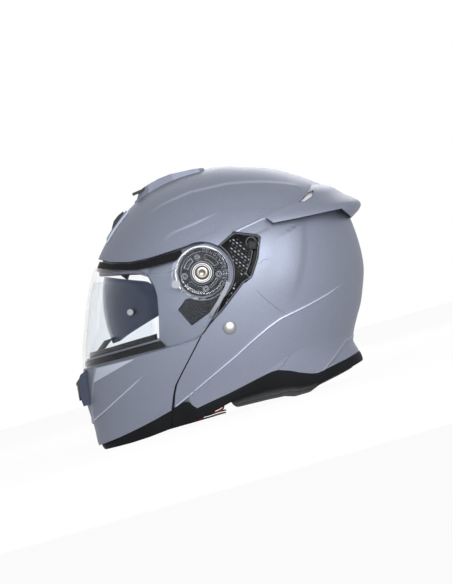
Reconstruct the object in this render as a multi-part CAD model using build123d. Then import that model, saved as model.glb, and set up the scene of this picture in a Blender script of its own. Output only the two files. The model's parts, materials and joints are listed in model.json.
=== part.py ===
"""Flip-up motorcycle helmet, resting on its chin edge and neck roll.

Lengths are in millimetres. The front of the helmet points to -X, the wearer's left side to -Y, and +Z is
up. The rest plane is z = 0, and x = 0 is the middle of the length. Outlines seen from the side are shares
of the helmet's length and height, and depths are measured inwards from the outermost painted surface.
Pieces are built on the right side, y > 0, and mirrored.
"""

import os
from math import cos, pi, radians, sin

import numpy as np
from build123d import *

# Overall size
HELMET_LENGTH = 342.0
HELMET_HEIGHT = 257.0
HELMET_WIDTH = 248.0
FRONT_FULLNESS = 2.1
REAR_FULLNESS = 2.3
WIDEST_SHARE = 0.015

# Body stations from the neck up: height, front reach, rear reach and half width
STATION_SHARE = (
    (-0.020, 0.462, 0.366, 0.362), (0.078, 0.484, 0.371, 0.399), (0.175, 0.486, 0.366, 0.431),
    (0.272, 0.480, 0.406, 0.460), (0.350, 0.466, 0.433, 0.478), (0.428, 0.449, 0.453, 0.492),
    (0.506, 0.427, 0.460, 0.500), (0.584, 0.404, 0.459, 0.498), (0.661, 0.377, 0.452, 0.482),
    (0.739, 0.341, 0.434, 0.442), (0.805, 0.300, 0.396, 0.393), (0.864, 0.254, 0.338, 0.336),
    (0.914, 0.205, 0.276, 0.268), (0.957, 0.146, 0.196, 0.188), (0.984, 0.083, 0.126, 0.116),
    (0.997, 0.025, 0.070, 0.050),
)
SECTION_POINTS = 13
PROFILE_SAMPLES = 120

# Walls and clearances
SHELL_WALL = 3.0
ARM_WALL = 3.0
VISOR_WALL = 2.2
VISOR_PROUD = 0.4
COVER_WALL = 1.4
SEAL_WALL = 2.6
PANEL_WALL = 2.2
TRIM_WALL = 5.4
FOAM_DEPTH = 36.0
SEAT_GAP = 0.15
RUN_GAP = 0.5
PART_LINE = 0.8
SLAB_REACH = 200.0
OVERRUN = 2.0

# Depths that follow from the walls
VISOR_INNER = VISOR_WALL - VISOR_PROUD
COVER_DEPTH = VISOR_INNER + RUN_GAP
ARM_DEPTH = COVER_DEPTH + COVER_WALL + SEAT_GAP
SIDE_FLOOR = ARM_DEPTH + ARM_WALL + PART_LINE
BROW_FLOOR = VISOR_INNER + SEAT_GAP + SEAL_WALL + SEAT_GAP

# Side outlines: length share and height share
PIVOT_SHARE = (-0.031, 0.588)
GAP_LINE_SHARE = (
    (-0.260, -0.023), (-0.240, 0.058), (-0.231, 0.086), (-0.213, 0.144), (-0.199, 0.179),
    (-0.175, 0.214), (-0.117, 0.296), (-0.085, 0.342),
)
REAR_LINE_SHARE = ((-0.073, 0.358), (-0.035, 0.405), (0.041, 0.537))
BROW_LINE_SHARE = (
    (-0.526, 0.840), (-0.327, 0.759), (-0.292, 0.730), (-0.234, 0.708), (-0.175, 0.702),
    (-0.117, 0.704), (-0.047, 0.708),
)
SHELL_FRONT_SHARE = (
    (-0.374, 0.724), (-0.327, 0.704), (-0.263, 0.685), (-0.216, 0.671), (-0.193, 0.646),
    (-0.181, 0.591), (-0.181, 0.545), (-0.193, 0.471), (-0.213, 0.370), (-0.225, 0.272),
    (-0.240, 0.179), (-0.263, 0.086), (-0.284, -0.030),
)
ARM_FRONT_SHARE = ((-0.126, 0.525), (-0.137, 0.459), (-0.161, 0.428), (-0.205, 0.378))
ARM_COVER_SHARE = (
    (-0.099, 0.506), (-0.132, 0.471), (-0.105, 0.393), (-0.040, 0.425), (0.010, 0.486), (-0.031, 0.545),
)
VISOR_LOW_SHARE = (
    (-0.512, 0.344), (-0.462, 0.344), (-0.424, 0.337), (-0.307, 0.331), (-0.193, 0.331),
    (-0.117, 0.331), (-0.096, 0.339),
)
VISOR_TOP_SHARE = (
    (-0.105, 0.626), (-0.132, 0.626), (-0.181, 0.640), (-0.234, 0.673), (-0.292, 0.700),
    (-0.354, 0.724), (-0.439, 0.739),
)
PANEL_SHARE = (
    (-0.010, 0.660), (0.035, 0.673), (0.096, 0.712), (0.161, 0.677), (0.170, 0.661), (0.146, 0.584),
    (0.117, 0.525), (0.108, 0.512), (0.082, 0.502), (0.000, 0.420), (-0.044, 0.385), (-0.073, 0.354),
    (-0.088, 0.342), (-0.020, 0.450),
)
TRIM_TOP_SHARE = (
    (-0.526, 0.014), (-0.465, 0.025), (-0.409, 0.035), (-0.351, 0.049), (-0.292, 0.066),
    (-0.234, 0.086), (-0.211, 0.097), (-0.190, 0.103), (-0.175, 0.093), (-0.161, 0.064),
    (-0.117, 0.074), (-0.058, 0.086), (0.000, 0.101), (0.058, 0.117), (0.088, 0.125),
    (0.111, 0.125), (0.146, 0.109), (0.175, 0.089), (0.205, 0.074), (0.225, 0.068),
    (0.263, 0.076), (0.322, 0.089), (0.365, 0.103), (0.439, 0.121),
)
TRIM_LOW_SHARE = (
    (-0.526, 0.000), (-0.380, 0.000), (-0.322, 0.004), (-0.263, 0.012), (-0.190, 0.019),
    (-0.161, 0.019), (-0.117, 0.031), (-0.058, 0.051), (0.000, 0.058), (0.058, 0.060),
    (0.117, 0.054), (0.175, 0.035), (0.219, 0.027), (0.263, 0.035), (0.336, 0.053),
    (0.374, 0.064), (0.439, 0.082),
)
TOP_SHARE = 1.2
SIDE_ZONE_FOOT_SHARE = -0.32
BELOW_SHARE = -0.1
AHEAD_SHARE = -0.585
BEHIND_SHARE = 0.585

# Pivot of the chin bar and visor
PIVOT_FLOOR_SHARE = 0.4294
DISH_RADIUS = 31.6
ARM_DISC_RADIUS = 27.5
EAR_RADIUS = 28.3
VISOR_DRUM_RADIUS = 24.8
RATCHET_RADIUS = 26.0
RATCHET_WALL = 2.2
RATCHET_TEETH = 40
RATCHET_TOOTH = 1.2
RATCHET_HOLE_TURNS = (40, 160, 280)
HUB_RING_RADIUS = 10.3
HUB_RING_WALL = 2.4
PIN_RADIUS = 4.0
PIN_HEAD_RADIUS = 6.5
PIN_HEAD_WALL = 2.6
PIN_GAP = 0.25

# Levels of the pivot stack, from the shell's floor outwards
FLOOR_LEVEL = PIVOT_FLOOR_SHARE * HELMET_WIDTH
ARM_LEVEL = FLOOR_LEVEL + RUN_GAP
RATCHET_LEVEL = ARM_LEVEL + ARM_WALL + SEAT_GAP
EAR_LEVEL = RATCHET_LEVEL + RATCHET_WALL + RUN_GAP
RING_LEVEL = EAR_LEVEL + VISOR_WALL + SEAT_GAP

# Inner sun visor, an egg-shaped lens turned about its own axis
SUN_PIVOT_SHARE = (-0.003, 0.4825)
SUN_RADIUS = 121.7
SUN_HALF_WIDTH = 109.0
SUN_WALL = 2.0
SUN_SWEEP = 40.0
SUN_POCKET_GAP = 2.2
SUN_ARM_INNER = 92.8
SUN_ARM_WALL = 2.0
SUN_BOSS_RADIUS = 8.0
SUN_PIN_RADIUS = 3.0
SUN_LENS_SHARE = (
    (-0.409, 0.712), (-0.327, 0.685), (-0.292, 0.665), (-0.234, 0.634), (-0.205, 0.619),
    (-0.187, 0.595), (-0.178, 0.564), (-0.178, 0.545), (-0.184, 0.518), (-0.193, 0.471),
    (-0.234, 0.457), (-0.307, 0.428), (-0.336, 0.412), (-0.409, 0.405),
)
SUN_ARM_SHARE = ((-0.190, 0.552), (-0.190, 0.510), (-0.003, 0.455), (-0.003, 0.510))
SUN_WEDGE = (-15.0, 29.0, 73.0)
SUN_SLOT_REACH = 78.0
SUN_BRACKET_RADIUS = 11.0
SUN_HUB_ROOM = 24.5
SUN_SLIDE_TOP_SHARE = (0.137, 0.642)
SUN_SLIDE_FOOT_SHARE = (0.1133, 0.543)
SUN_SLOT_WIDTH = 8.6
SUN_KNOB_SHARE = ((0.120, 0.626), (0.128, 0.661), (0.156, 0.650), (0.148, 0.615))
SUN_KNOB_PROUD = 3.4
SUN_KNOB_LIFT = 1.9
SUN_STEM_GAP = 0.8
SUN_STEM_DEPTH = 0.2

# Chin strap
RIVET_SHARE = (0.004, 0.346)
RIVET_RADIUS = 2.5
RIVET_HEAD_RADIUS = 7.0
RIVET_HEAD_HEIGHT = 2.6
STRAP_WIDTH = 24.0
STRAP_WALL = 2.0
STRAP_SLOT_GAP = 1.2
STRAP_BEND = 9.0
STRAP_LINE_SHARE = (
    (0.450, 0.375), (0.450, 0.325), (0.415, 0.242), (0.288, 0.150), (0.235, 0.092), (0.121, 0.055),
    (0.024, 0.055),
)
STRAP_TONGUE = 24.0
BUCKLE_LENGTH = 34.0
BUCKLE_HEIGHT = 7.5
BUCKLE_RIM = 3.0
LEVER_WALL = 2.2
RIGHT_ANGLE = 90.0

# Soft liners
LINER_DEPTH = 44.0
CHEEK_DEPTH = 55.0
CHEEK_ROUND = 12.0
FOAM_FOOT_SHARE = 0.128
CROWN_FRONT_SHARE = (
    (-0.327, 0.692), (-0.228, 0.685), (-0.199, 0.654), (-0.187, 0.584), (-0.187, 0.506), (-0.193, 0.436),
)
CHEEK_TOP_SHARE = 0.420
CHEEK_REAR_SHARE = 0.132
CHEEK_FRONT_SHARE = ((-0.199, 0.420), (-0.211, 0.280), (-0.196, 0.140))
LATCH_ROOM_SHARE = ((-0.322, 0.070), (-0.322, 0.187), (-0.199, 0.187), (-0.199, 0.070))
ROLL_NEAR = 7.2
ROLL_FAR = 30.0
ROLL_SHARE = ((0.0, 0.38, 0.62), (0.1, 0.18, 0.82), (0.3, 0.05, 0.95), (0.6, 0.0, 1.0), (1.0, 0.0, 1.0))
ROLL_FOOT_SHARE = (
    (-0.076, 0.024), (0.058, 0.018), (0.117, 0.013), (0.152, 0.000), (0.193, 0.000), (0.219, 0.016),
    (0.278, 0.031), (0.336, 0.047), (0.439, 0.062),
)
PULL_TAB_SHARE = (
    (-0.187, 0.126), (-0.178, 0.025), (-0.158, 0.025), (-0.135, 0.043), (-0.108, 0.025), (-0.088, 0.025),
    (-0.079, 0.126),
)
PULL_TAB_PLACE_SHARE = 0.283
PULL_TAB_WIDTH = 12.0
PULL_TAB_WALL = 1.6
PULL_TAB_BEND = 2.6

# Chin bar pieces
LEDGE_SHARE = 0.378
CHIN_FOAM_DEPTH = 18.0
CHIN_FOAM_SHARE = (
    (-0.585, 0.054), (-0.287, 0.054), (-0.275, 0.179), (-0.257, 0.257), (-0.251, 0.311), (-0.585, 0.311),
)
CHIN_CAP_SHARE = (
    (-0.585, 0.314), (-0.585, 0.372), (-0.462, 0.377), (-0.439, 0.399), (-0.327, 0.399), (-0.222, 0.399),
    (-0.228, 0.350), (-0.246, 0.314),
)
CHIN_CAP_DEPTH = 19.0
LOW_SEAL_SHARE = (
    (-0.585, 0.352), (-0.424, 0.346), (-0.205, 0.340), (-0.196, 0.342), (-0.208, 0.371), (-0.585, 0.371),
)
DEFLECTOR_FOOT = 15.0
DEFLECTOR_LEAN = 8.0
DEFLECTOR_WALL = 3.2
DEFLECTOR_HALF_WIDTH = 30.0
DEFLECTOR_TOP_SHARE = 0.432
CURTAIN_NEAR = 5.9
CURTAIN_FAR = 34.0
CURTAIN_WALL = 1.8
CURTAIN_FOOT = 3.0
CURTAIN_REAR_SHARE = -0.278
CHIN_VENT_SHARE = (
    (-0.450, 0.195), (-0.4956, 0.195), (-0.503, 0.292), (-0.485, 0.311), (-0.480, 0.323), (-0.450, 0.340),
)
CHIN_VENT_PROUD = 8.2
CHIN_VENT_HALF_WIDTH = 30.0
CHIN_VENT_FLOOR = 4.0
CHIN_VENT_ROOM = (17.0, 0.218, 0.284)
CHIN_SHUTTER = (14.0, 0.221, 0.257)
SHUTTER_PROUD = 7.0
RELEASE_HALF_WIDTH = 12.0
RELEASE_NEAR = 10.0
RELEASE_LENGTH = 12.0
RELEASE_HEIGHT = 7.4
RELEASE_FOOT = 1.2
RELEASE_TRAVEL = 4.0
HOUSING_RIM = 5.0
HOUSING_FOOT = 5.6

# Latches between chin bar and shell
LATCH_PIVOT_SHARE = (-0.292, 0.140)
STRIKER_SHARE = (-0.240, 0.117)
LATCH_REACH = 70.0
LATCH_WALL = 3.0
LATCH_PIN_RADIUS = 2.5
LATCH_BOSS_RADIUS = 6.0
STRIKER_BASE_RADIUS = 6.0
STRIKER_BASE_WALL = 1.5
STRIKER_TAIL = 4.0
HOOK_SHARE = (
    (-0.295, 0.163), (-0.246, 0.156), (-0.222, 0.138), (-0.2155, 0.121), (-0.2175, 0.1145),
    (-0.235, 0.1285), (-0.251, 0.1285), (-0.292, 0.117),
)

# Vents, spoiler and small trim
TOP_VENT_SHARE = (
    (-0.178, 0.800), (-0.178, 0.944), (-0.164, 0.953), (-0.155, 0.973), (-0.149, 0.982), (-0.132, 0.998),
    (-0.088, 1.010), (-0.044, 1.016), (-0.023, 1.014), (0.029, 1.010), (0.082, 0.998), (0.082, 0.800),
)
TOP_VENT_PLAN_SHARE = ((-0.190, 0.046), (-0.132, 0.101), (-0.044, 0.128), (0.058, 0.135), (0.094, 0.090))
TOP_VENT_PROUD = 7.6
TOP_VENT_FOOT_SHARE = 0.880
TOP_VENT_LEAN = 20.0
TOP_SLOT_HALF_WIDTH = 13.4
TOP_SLOT_SHARE = ((-0.210, 0.966), (-0.073, 0.9885), (-0.073, 1.0015), (-0.210, 0.979))
TOP_SHUTTER_SHARE = ((-0.1725, 0.9735), (-0.096, 0.9860), (-0.096, 0.9965), (-0.1725, 0.9835))
BROW_VENT_SHARE = ((-0.290, 0.815), (-0.285, 0.842), (-0.208, 0.926), (-0.193, 0.903), (-0.263, 0.807))
BROW_VENT_HALF_WIDTH = 24.0
BROW_VENT_PROUD = 2.2
BROW_BUTTON_SHARE = ((-0.264, 0.865), (-0.247, 0.903), (-0.216, 0.922), (-0.205, 0.895), (-0.249, 0.848))
BROW_BUTTON_HALF_WIDTH = 10.0
BROW_BUTTON_PROUD = 5.4
SPOILER_SHARE = (
    (0.202, 0.732), (0.234, 0.745), (0.307, 0.759), (0.357, 0.798), (0.380, 0.829), (0.526, 0.829),
    (0.526, 0.623), (0.468, 0.623), (0.433, 0.685), (0.292, 0.696), (0.219, 0.704),
)
SPOILER_STATION_SHARE = (
    (0.610, 0.466, 0.478), (0.669, 0.493, 0.490), (0.689, 0.499, 0.490), (0.728, 0.471, 0.478),
    (0.763, 0.443, 0.456), (0.794, 0.415, 0.431), (0.835, 0.374, 0.385),
)
SPOILER_FULLNESS = 2.6
EXHAUST_SHARE = ((0.311, 0.757), (0.348, 0.784), (0.366, 0.788), (0.360, 0.766), (0.330, 0.752))
EXHAUST_PROUD = 3.0
EXHAUST_FLOOR = 1.2
SEAL_FACE_SHARE = (
    (-0.374, 0.745), (-0.330, 0.752), (-0.292, 0.724), (-0.234, 0.704), (-0.175, 0.698), (-0.073, 0.700),
    (-0.073, 0.668), (-0.146, 0.668), (-0.210, 0.672), (-0.263, 0.687), (-0.327, 0.707), (-0.374, 0.727),
)
INSERT_SHARE = (
    (-0.500, 0.386), (-0.234, 0.386), (-0.222, 0.428), (-0.211, 0.545), (-0.228, 0.603), (-0.263, 0.634),
    (-0.316, 0.661), (-0.500, 0.700),
)
INSERT_WALL = 0.8
INSERT_PIN_SHARE = (-0.275, 0.514)
INSERT_PIN_RADIUS = 3.3
STUD_SHARE = (-0.117, 0.572)
STUD_RADIUS = 4.5
STUD_PROUD = 2.2
TAB_HALF_WIDTH = 12.0
TAB_SHARE = ((-0.496, 0.350), (-0.490, 0.362), (-0.456, 0.366), (-0.456, 0.349))
PANEL_PROUD = 0.3
CELL_RADIUS = 2.5
CELL_PITCH = 6.4
CELL_START_SHARE = (0.064, 0.655)
CELL_COLUMNS = 4
CELL_ROWS = 6
CELL_THIN_ROWS = 3
CELL_DRIFT = -0.53
TIP_CELL_START_SHARE = (0.056, 0.487)
TIP_CELL_END_SHARE = (0.010, 0.449)
TIP_CELLS = 4


def at(point_share):
    """Side-view place of a pair of shares."""
    return point_share[0] * HELMET_LENGTH, point_share[1] * HELMET_HEIGHT


def outline(*lines):
    """Closed side-view face through the points of the lines, in order."""
    return make_face(Polyline(*[at(point) for line in lines for point in line], close=True))


def plate(sketch, start, end):
    """Side-view face as a flat plate, from start to end out from the middle."""
    face = Pos(0, start, 0) * (Plane.XZ * sketch)
    return extrude(face, amount=end - start, dir=(0, 1, 0))


def slab(sketch):
    """Side-view face carried from the middle past the outermost surface."""
    return plate(sketch, -OVERRUN, SLAB_REACH)


def disc(centre, radius):
    """Side-view disc."""
    return Pos(*centre) * Circle(radius)


def rod(centre, radius, start, end):
    """Round bar along the width, from start to end out from the middle."""
    return plate(disc(centre, radius), start, end)


def offset_profile(column, scale, depth):
    """Reach and height of a body profile moved inwards along its normals."""
    curve = Spline([(row[column] * scale, row[0] * HELMET_HEIGHT) for row in STATION_SHARE])
    reach, height = [], []
    for step in np.linspace(0, 1, PROFILE_SAMPLES):
        place, along = curve @ step, curve % step
        reach.append(place.X - depth * along.Y)
        height.append(place.Y + depth * along.X)
    return np.array(height), np.array(reach)


PROFILES = {}


def profiles(depth):
    """Front, rear and side profiles at a depth, worked out once."""
    if depth not in PROFILES:
        scales = HELMET_LENGTH, HELMET_LENGTH, HELMET_WIDTH
        PROFILES[depth] = [offset_profile(i + 1, scale, depth) for i, scale in enumerate(scales)]
    return PROFILES[depth]


def oval(front, rear, side, height, rear_fullness):
    """Half of a horizontal oval, blunter behind than in front, with its widest place just behind x = 0."""
    middle = WIDEST_SHARE * HELMET_LENGTH
    turns = np.linspace(0, pi, SECTION_POINTS)
    points = []
    for turn in turns:
        ahead = cos(turn) < 0
        reach, full = (front + middle, FRONT_FULLNESS) if ahead else (rear - middle, rear_fullness)
        radius = (abs(cos(turn) / reach) ** full + abs(sin(turn) / side) ** full) ** (-1 / full)
        points.append((middle + radius * cos(turn), radius * sin(turn), height))
    ends = (0, rear - middle, 0), (0, -front - middle, 0)
    curve = Edge.make_spline(points, tangents=ends, parameters=turns, scale=False)
    return Wire([curve, Edge.make_line(points[-1], points[0])])


def section(height, depth, inset=0.0):
    """Half section of the body at a height and depth, with a further inset in its own plane."""
    front, rear, side = [np.interp(height, *profile) - inset for profile in profiles(depth)]
    return oval(front, rear, side, height, REAR_FULLNESS)


SKINS = {}


def skin(depth):
    """Half body whose surface lies depth inside the outermost one."""
    if depth not in SKINS:
        top = HELMET_HEIGHT - depth
        SKINS[depth] = Solid.make_loft([section(row[0] * top, depth) for row in STATION_SHARE])
    return SKINS[depth]


def barrel(levels):
    """Half solid lofted through body sections, each a height and an inset from the outermost surface."""
    return Solid.make_loft([section(height, 0, inset) for height, inset in levels])


def pressed_body(depth, zones, drum_radius, drum_level):
    """Body at a depth, lowered to each zone's own depth, and flat round the pivots."""
    body = skin(depth)
    for sketch, zone_depth in zones:
        body = body - (slab(sketch) - skin(zone_depth))
    return body - rod(at(PIVOT_SHARE), drum_radius, drum_level, SLAB_REACH)


def layer(sketch, outer, inner):
    """Part of the body between two depths, inside a side-view face."""
    return (slab(sketch) & skin(outer)) - skin(inner)


def left(shape):
    """Mirror image on the left side."""
    return mirror(shape, about=Plane.XZ)


def whole(half):
    """Half and its mirror image as one."""
    return half + left(half)


def save(name, *shapes):
    """Write the solids of one sub-part."""
    solids = [solid for shape in shapes for solid in shape.solids()]
    export_step(Compound(solids), os.path.join("parts", name + ".step"))


# Side-view faces that several pieces share
def above(share):
    """Everything higher than a height share."""
    return outline(
        ((AHEAD_SHARE, share), (BEHIND_SHARE, share), (BEHIND_SHARE, TOP_SHARE), (AHEAD_SHARE, TOP_SHARE))
    )


def ahead_of_gap():
    """Everything in front of the line between chin bar and shell, up to the visor's height."""
    corner = ((AHEAD_SHARE, GAP_LINE_SHARE[-1][1]), (AHEAD_SHARE, GAP_LINE_SHARE[0][1]))
    return outline(GAP_LINE_SHARE, corner)


def visor_face():
    """Outline of the visor with its ears."""
    return outline(VISOR_LOW_SHARE, REAR_LINE_SHARE, (PIVOT_SHARE,), VISOR_TOP_SHARE) + disc(
        at(PIVOT_SHARE), EAR_RADIUS
    )


def arm_face():
    """Outline of the chin bar's arms and of the ledge under the visor."""
    body = outline(
        GAP_LINE_SHARE, REAR_LINE_SHARE, (PIVOT_SHARE,), ARM_FRONT_SHARE,
        ((AHEAD_SHARE, LEDGE_SHARE), (AHEAD_SHARE, BELOW_SHARE)),
    )
    return body + disc(at(PIVOT_SHARE), ARM_DISC_RADIUS)


def side_zone(grow):
    """Lowered side of the shell that the arms and visor run in."""
    face = outline(GAP_LINE_SHARE, REAR_LINE_SHARE, (PIVOT_SHARE,), BROW_LINE_SHARE[::-1][:3],
                   ((SIDE_ZONE_FOOT_SHARE, BELOW_SHARE),))
    return offset(face + disc(at(PIVOT_SHARE), DISH_RADIUS), amount=PART_LINE + grow)


def brow_zone(grow):
    """Lowered edge of the brow that carries the eyeport's seal."""
    face = outline(BROW_LINE_SHARE[:5], ((BROW_LINE_SHARE[4][0], BELOW_SHARE), (AHEAD_SHARE, BELOW_SHARE)))
    return offset(face, amount=PART_LINE + grow)


def shell_front():
    """Everything in front of the shell's inner front edge."""
    return outline(SHELL_FRONT_SHARE, ((AHEAD_SHARE, BELOW_SHARE), (AHEAD_SHARE, SHELL_FRONT_SHARE[0][1])))


def shell_surface(depth, grow):
    """Body of the shell at a depth, with its lowered sides, brow edge and panel seats."""
    zones = (
        (side_zone(grow), SIDE_FLOOR + depth),
        (brow_zone(grow), BROW_FLOOR + depth),
        (panel_face(PART_LINE / 2 + grow), PANEL_WALL + depth),
    )
    return pressed_body(depth, zones, DISH_RADIUS + grow, FLOOR_LEVEL - depth)


def panel_face(grow):
    """Outline of the side vent panel, which ends where the lowered side begins."""
    return offset(outline(PANEL_SHARE), amount=grow) - side_zone(0)


def between(top_line, low_line):
    """Band between two side-view lines, given from front to rear."""
    return outline(top_line, low_line[::-1])


def below_trim():
    """Everything under the edging's upper line, with the seat's gap."""
    low = ((BEHIND_SHARE, BELOW_SHARE), (AHEAD_SHARE, BELOW_SHARE))
    return Pos(0, SEAT_GAP) * outline(TRIM_TOP_SHARE, low)


def bore(shape, place_share, radius):
    """The shape with a cross hole."""
    return shape - rod(at(place_share), radius, FLOOR_LEVEL / 2, SLAB_REACH)


def across(half_width, low_share, high_share):
    """Block through the front of the helmet, between two height shares."""
    low, high = low_share * HELMET_HEIGHT, high_share * HELMET_HEIGHT
    block = Box(SLAB_REACH, 2 * half_width, high - low, align=(Align.MAX, Align.CENTER, Align.MIN))
    return Pos(0, 0, low) * block


def middle_strip(half_width):
    """Upright strip along the middle of the helmet."""
    return Box(2 * SLAB_REACH, 2 * half_width, 3 * HELMET_HEIGHT)


# Painted shell and its trim
def outer_shell():
    """Painted shell with an open front, lowered sides for the arms, and pin, bracket and rivet holes."""
    wall = shell_surface(0, 0) - shell_surface(SHELL_WALL, SHELL_WALL)
    wall = wall - slab(shell_front()) - slab(below_trim())
    wall = bore(wall, PIVOT_SHARE, PIN_RADIUS + PIN_GAP)
    wall = bore(wall, SUN_PIVOT_SHARE, SUN_PIN_RADIUS + PIN_GAP)
    return whole(bore(wall, RIVET_SHARE, RIVET_RADIUS + PIN_GAP))


def edge_band():
    """Rubber edging round the whole lower rim, before it is parted at the chin bar."""
    return layer(between(TRIM_TOP_SHARE, TRIM_LOW_SHARE), -VISOR_PROUD, TRIM_WALL - VISOR_PROUD)


def shell_edge_trim():
    """Edging of the shell."""
    return whole(edge_band() - slab(offset(ahead_of_gap(), amount=PART_LINE)))


def eyeport_seal_upper():
    """Rubber lip that the visor closes on, from the brow to the pivots."""
    face = outline(SEAL_FACE_SHARE) - disc(at(PIVOT_SHARE), EAR_RADIUS + 2 * RUN_GAP)
    foot = (PIVOT_SHARE[0], LEDGE_SHARE), (BROW_LINE_SHARE[4][0], LEDGE_SHARE)
    behind = outline(BROW_LINE_SHARE[4:], foot)
    near = VISOR_INNER + SEAT_GAP
    lip = layer(face, near, BROW_FLOOR - SEAT_GAP) + layer(face & behind, near, SIDE_FLOOR - SEAT_GAP)
    return whole(lip)


# Foam and soft liners of the shell
def egg(grow):
    """Half of the solid that the sun visor's lens is a shell of, larger or smaller by grow."""
    corner = Rectangle(2 * SUN_RADIUS, 2 * SUN_HALF_WIDTH, align=Align.MIN)
    quarter = Ellipse(SUN_RADIUS + grow, SUN_HALF_WIDTH + grow) & corner
    x, z = at(SUN_PIVOT_SHARE)
    return Pos(x, 0, z) * revolve(quarter, Axis.Y, 360)


def sun_fan(reach):
    """Side-view fan about the sun visor's axis, over all that the lens sweeps."""
    x, z = at(SUN_PIVOT_SHARE)
    turns = [radians(turn) for turn in SUN_WEDGE]
    rim = [(x - reach * cos(turn), z + reach * sin(turn)) for turn in turns]
    return make_face(Polyline((x, z), *rim, close=True))


def strap_band(end, grow):
    """Webbing of the chin strap from its rivet down and across, thicker and wider by grow."""
    points = [(share[0] * HELMET_WIDTH, share[1] * HELMET_HEIGHT) for share in STRAP_LINE_SHARE]
    path = FilletPolyline(*points[:-1], (end, points[-1][1]), radius=STRAP_BEND)
    band = Plane.YZ * trace(path, line_width=STRAP_WALL + 2 * grow)
    place = Pos(at(RIVET_SHARE)[0], 0, 0)
    return place * extrude(band, amount=STRAP_WIDTH / 2 + grow, both=True)


def strap_slot():
    """Room that a strap passes through."""
    return strap_band(0, STRAP_SLOT_GAP)


def eps_liner():
    """Impact foam under the shell, thinner where the sun visor lies and pocketed for what is behind it."""
    gap = SHELL_WALL + SEAT_GAP
    foam = shell_surface(gap, gap) - skin(FOAM_DEPTH)
    foam = foam - slab(offset(shell_front(), amount=OVERRUN))
    foam = foam & slab(above(FOAM_FOOT_SHARE))
    foam = foam - slab(outline(LATCH_ROOM_SHARE))
    foam = foam - (slab(sun_fan(2 * SLAB_REACH)) - egg(-SUN_WALL / 2 - SUN_POCKET_GAP))
    start = SUN_ARM_INNER - RUN_GAP - SEAT_GAP
    foam = foam - plate(sun_fan(SUN_SLOT_REACH), start, SLAB_REACH)
    foam = foam - rod(at(SUN_PIVOT_SHARE), SUN_HUB_ROOM, start, SLAB_REACH)
    foam = foam - rod(at(PIVOT_SHARE), PIN_HEAD_RADIUS + RUN_GAP, start, SLAB_REACH)
    foam = foam - rod(at(RIVET_SHARE), RIVET_RADIUS + RUN_GAP, start, SLAB_REACH)
    return whole(foam - strap_slot())


def crown_liner():
    """Padded comfort liner under the crown and round the back of the head."""
    face = outline(CROWN_FRONT_SHARE, (
        (BEHIND_SHARE, CROWN_FRONT_SHARE[-1][1]), (BEHIND_SHARE, TOP_SHARE), (AHEAD_SHARE, TOP_SHARE),
        (AHEAD_SHARE, CROWN_FRONT_SHARE[0][1]),
    ))
    return whole(layer(face, FOAM_DEPTH + SEAT_GAP, LINER_DEPTH))


def cheek_pad():
    """Crowned cheek pad with a slot for the strap."""
    low, high = at((0, FOAM_FOOT_SHARE))[1], at((0, CHEEK_TOP_SHARE))[1]
    levels = (low, CHEEK_ROUND), (low + CHEEK_ROUND, 0), (high - CHEEK_ROUND, 0), (high, CHEEK_ROUND)
    hollow = barrel([(height, CHEEK_DEPTH - lean) for height, lean in levels])
    rear = (CHEEK_REAR_SHARE, FOAM_FOOT_SHARE), (CHEEK_REAR_SHARE, CHEEK_TOP_SHARE)
    face = outline(CHEEK_FRONT_SHARE, rear)
    return (slab(face) & skin(FOAM_DEPTH + SEAT_GAP)) - hollow - strap_slot()


def neck_roll():
    """Soft roll round the neck opening that the helmet stands on at the back."""
    height = at((0, FOAM_FOOT_SHARE))[1] - SEAT_GAP
    span = ROLL_FAR - ROLL_NEAR
    outer = barrel([(level * height, ROLL_NEAR + near * span) for level, near, _ in ROLL_SHARE])
    hollow = barrel([(level * height, ROLL_NEAR + far * span) for level, _, far in ROLL_SHARE])
    face = outline(ROLL_FOOT_SHARE, ((BEHIND_SHARE, TOP_SHARE), (ROLL_FOOT_SHARE[0][0], TOP_SHARE)))
    return whole(((outer - hollow) & slab(face)) - strap_slot())


def pull_tab():
    """Webbing loop under the rim that frees a cheek pad in an emergency."""
    path = FilletPolyline(*[at(share) for share in PULL_TAB_SHARE], radius=PULL_TAB_BEND)
    start = PULL_TAB_PLACE_SHARE * HELMET_WIDTH
    return plate(trace(path, line_width=PULL_TAB_WALL), start, start + PULL_TAB_WIDTH)


# Chin strap and its buckle
def strap_rivet():
    """Domed rivet through the shell that holds a strap's end."""
    x, z = at(RIVET_SHARE)
    seat = np.interp(z, *profiles(0)[2]) + SEAT_GAP
    strap = STRAP_LINE_SHARE[0][0] * HELMET_WIDTH
    shank = rod((x, z), RIVET_RADIUS, strap + STRAP_WALL / 2 + SEAT_GAP, seat + RIVET_HEAD_HEIGHT / 2)
    dome_radius = (RIVET_HEAD_RADIUS**2 + RIVET_HEAD_HEIGHT**2) / (2 * RIVET_HEAD_HEIGHT)
    ball = Pos(x, seat + RIVET_HEAD_HEIGHT - dome_radius, z) * Sphere(dome_radius)
    head = ball & rod((x, z), RIVET_HEAD_RADIUS, seat - RIVET_HEAD_HEIGHT, seat + RIVET_HEAD_HEIGHT)
    return shank + (head - skin(-SEAT_GAP))


def on_strap(length, width, low, high):
    """Block lengthwise on the strap where it crosses the neck opening, between two levels from its middle."""
    x = at(RIVET_SHARE)[0]
    mouth = STRAP_LINE_SHARE[-1][0] * HELMET_WIDTH
    level = STRAP_LINE_SHARE[-1][1] * HELMET_HEIGHT
    block = Box(width, length, high - low, align=(Align.CENTER, Align.MAX, Align.MIN))
    return Pos(x, mouth, level + low) * block


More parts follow.
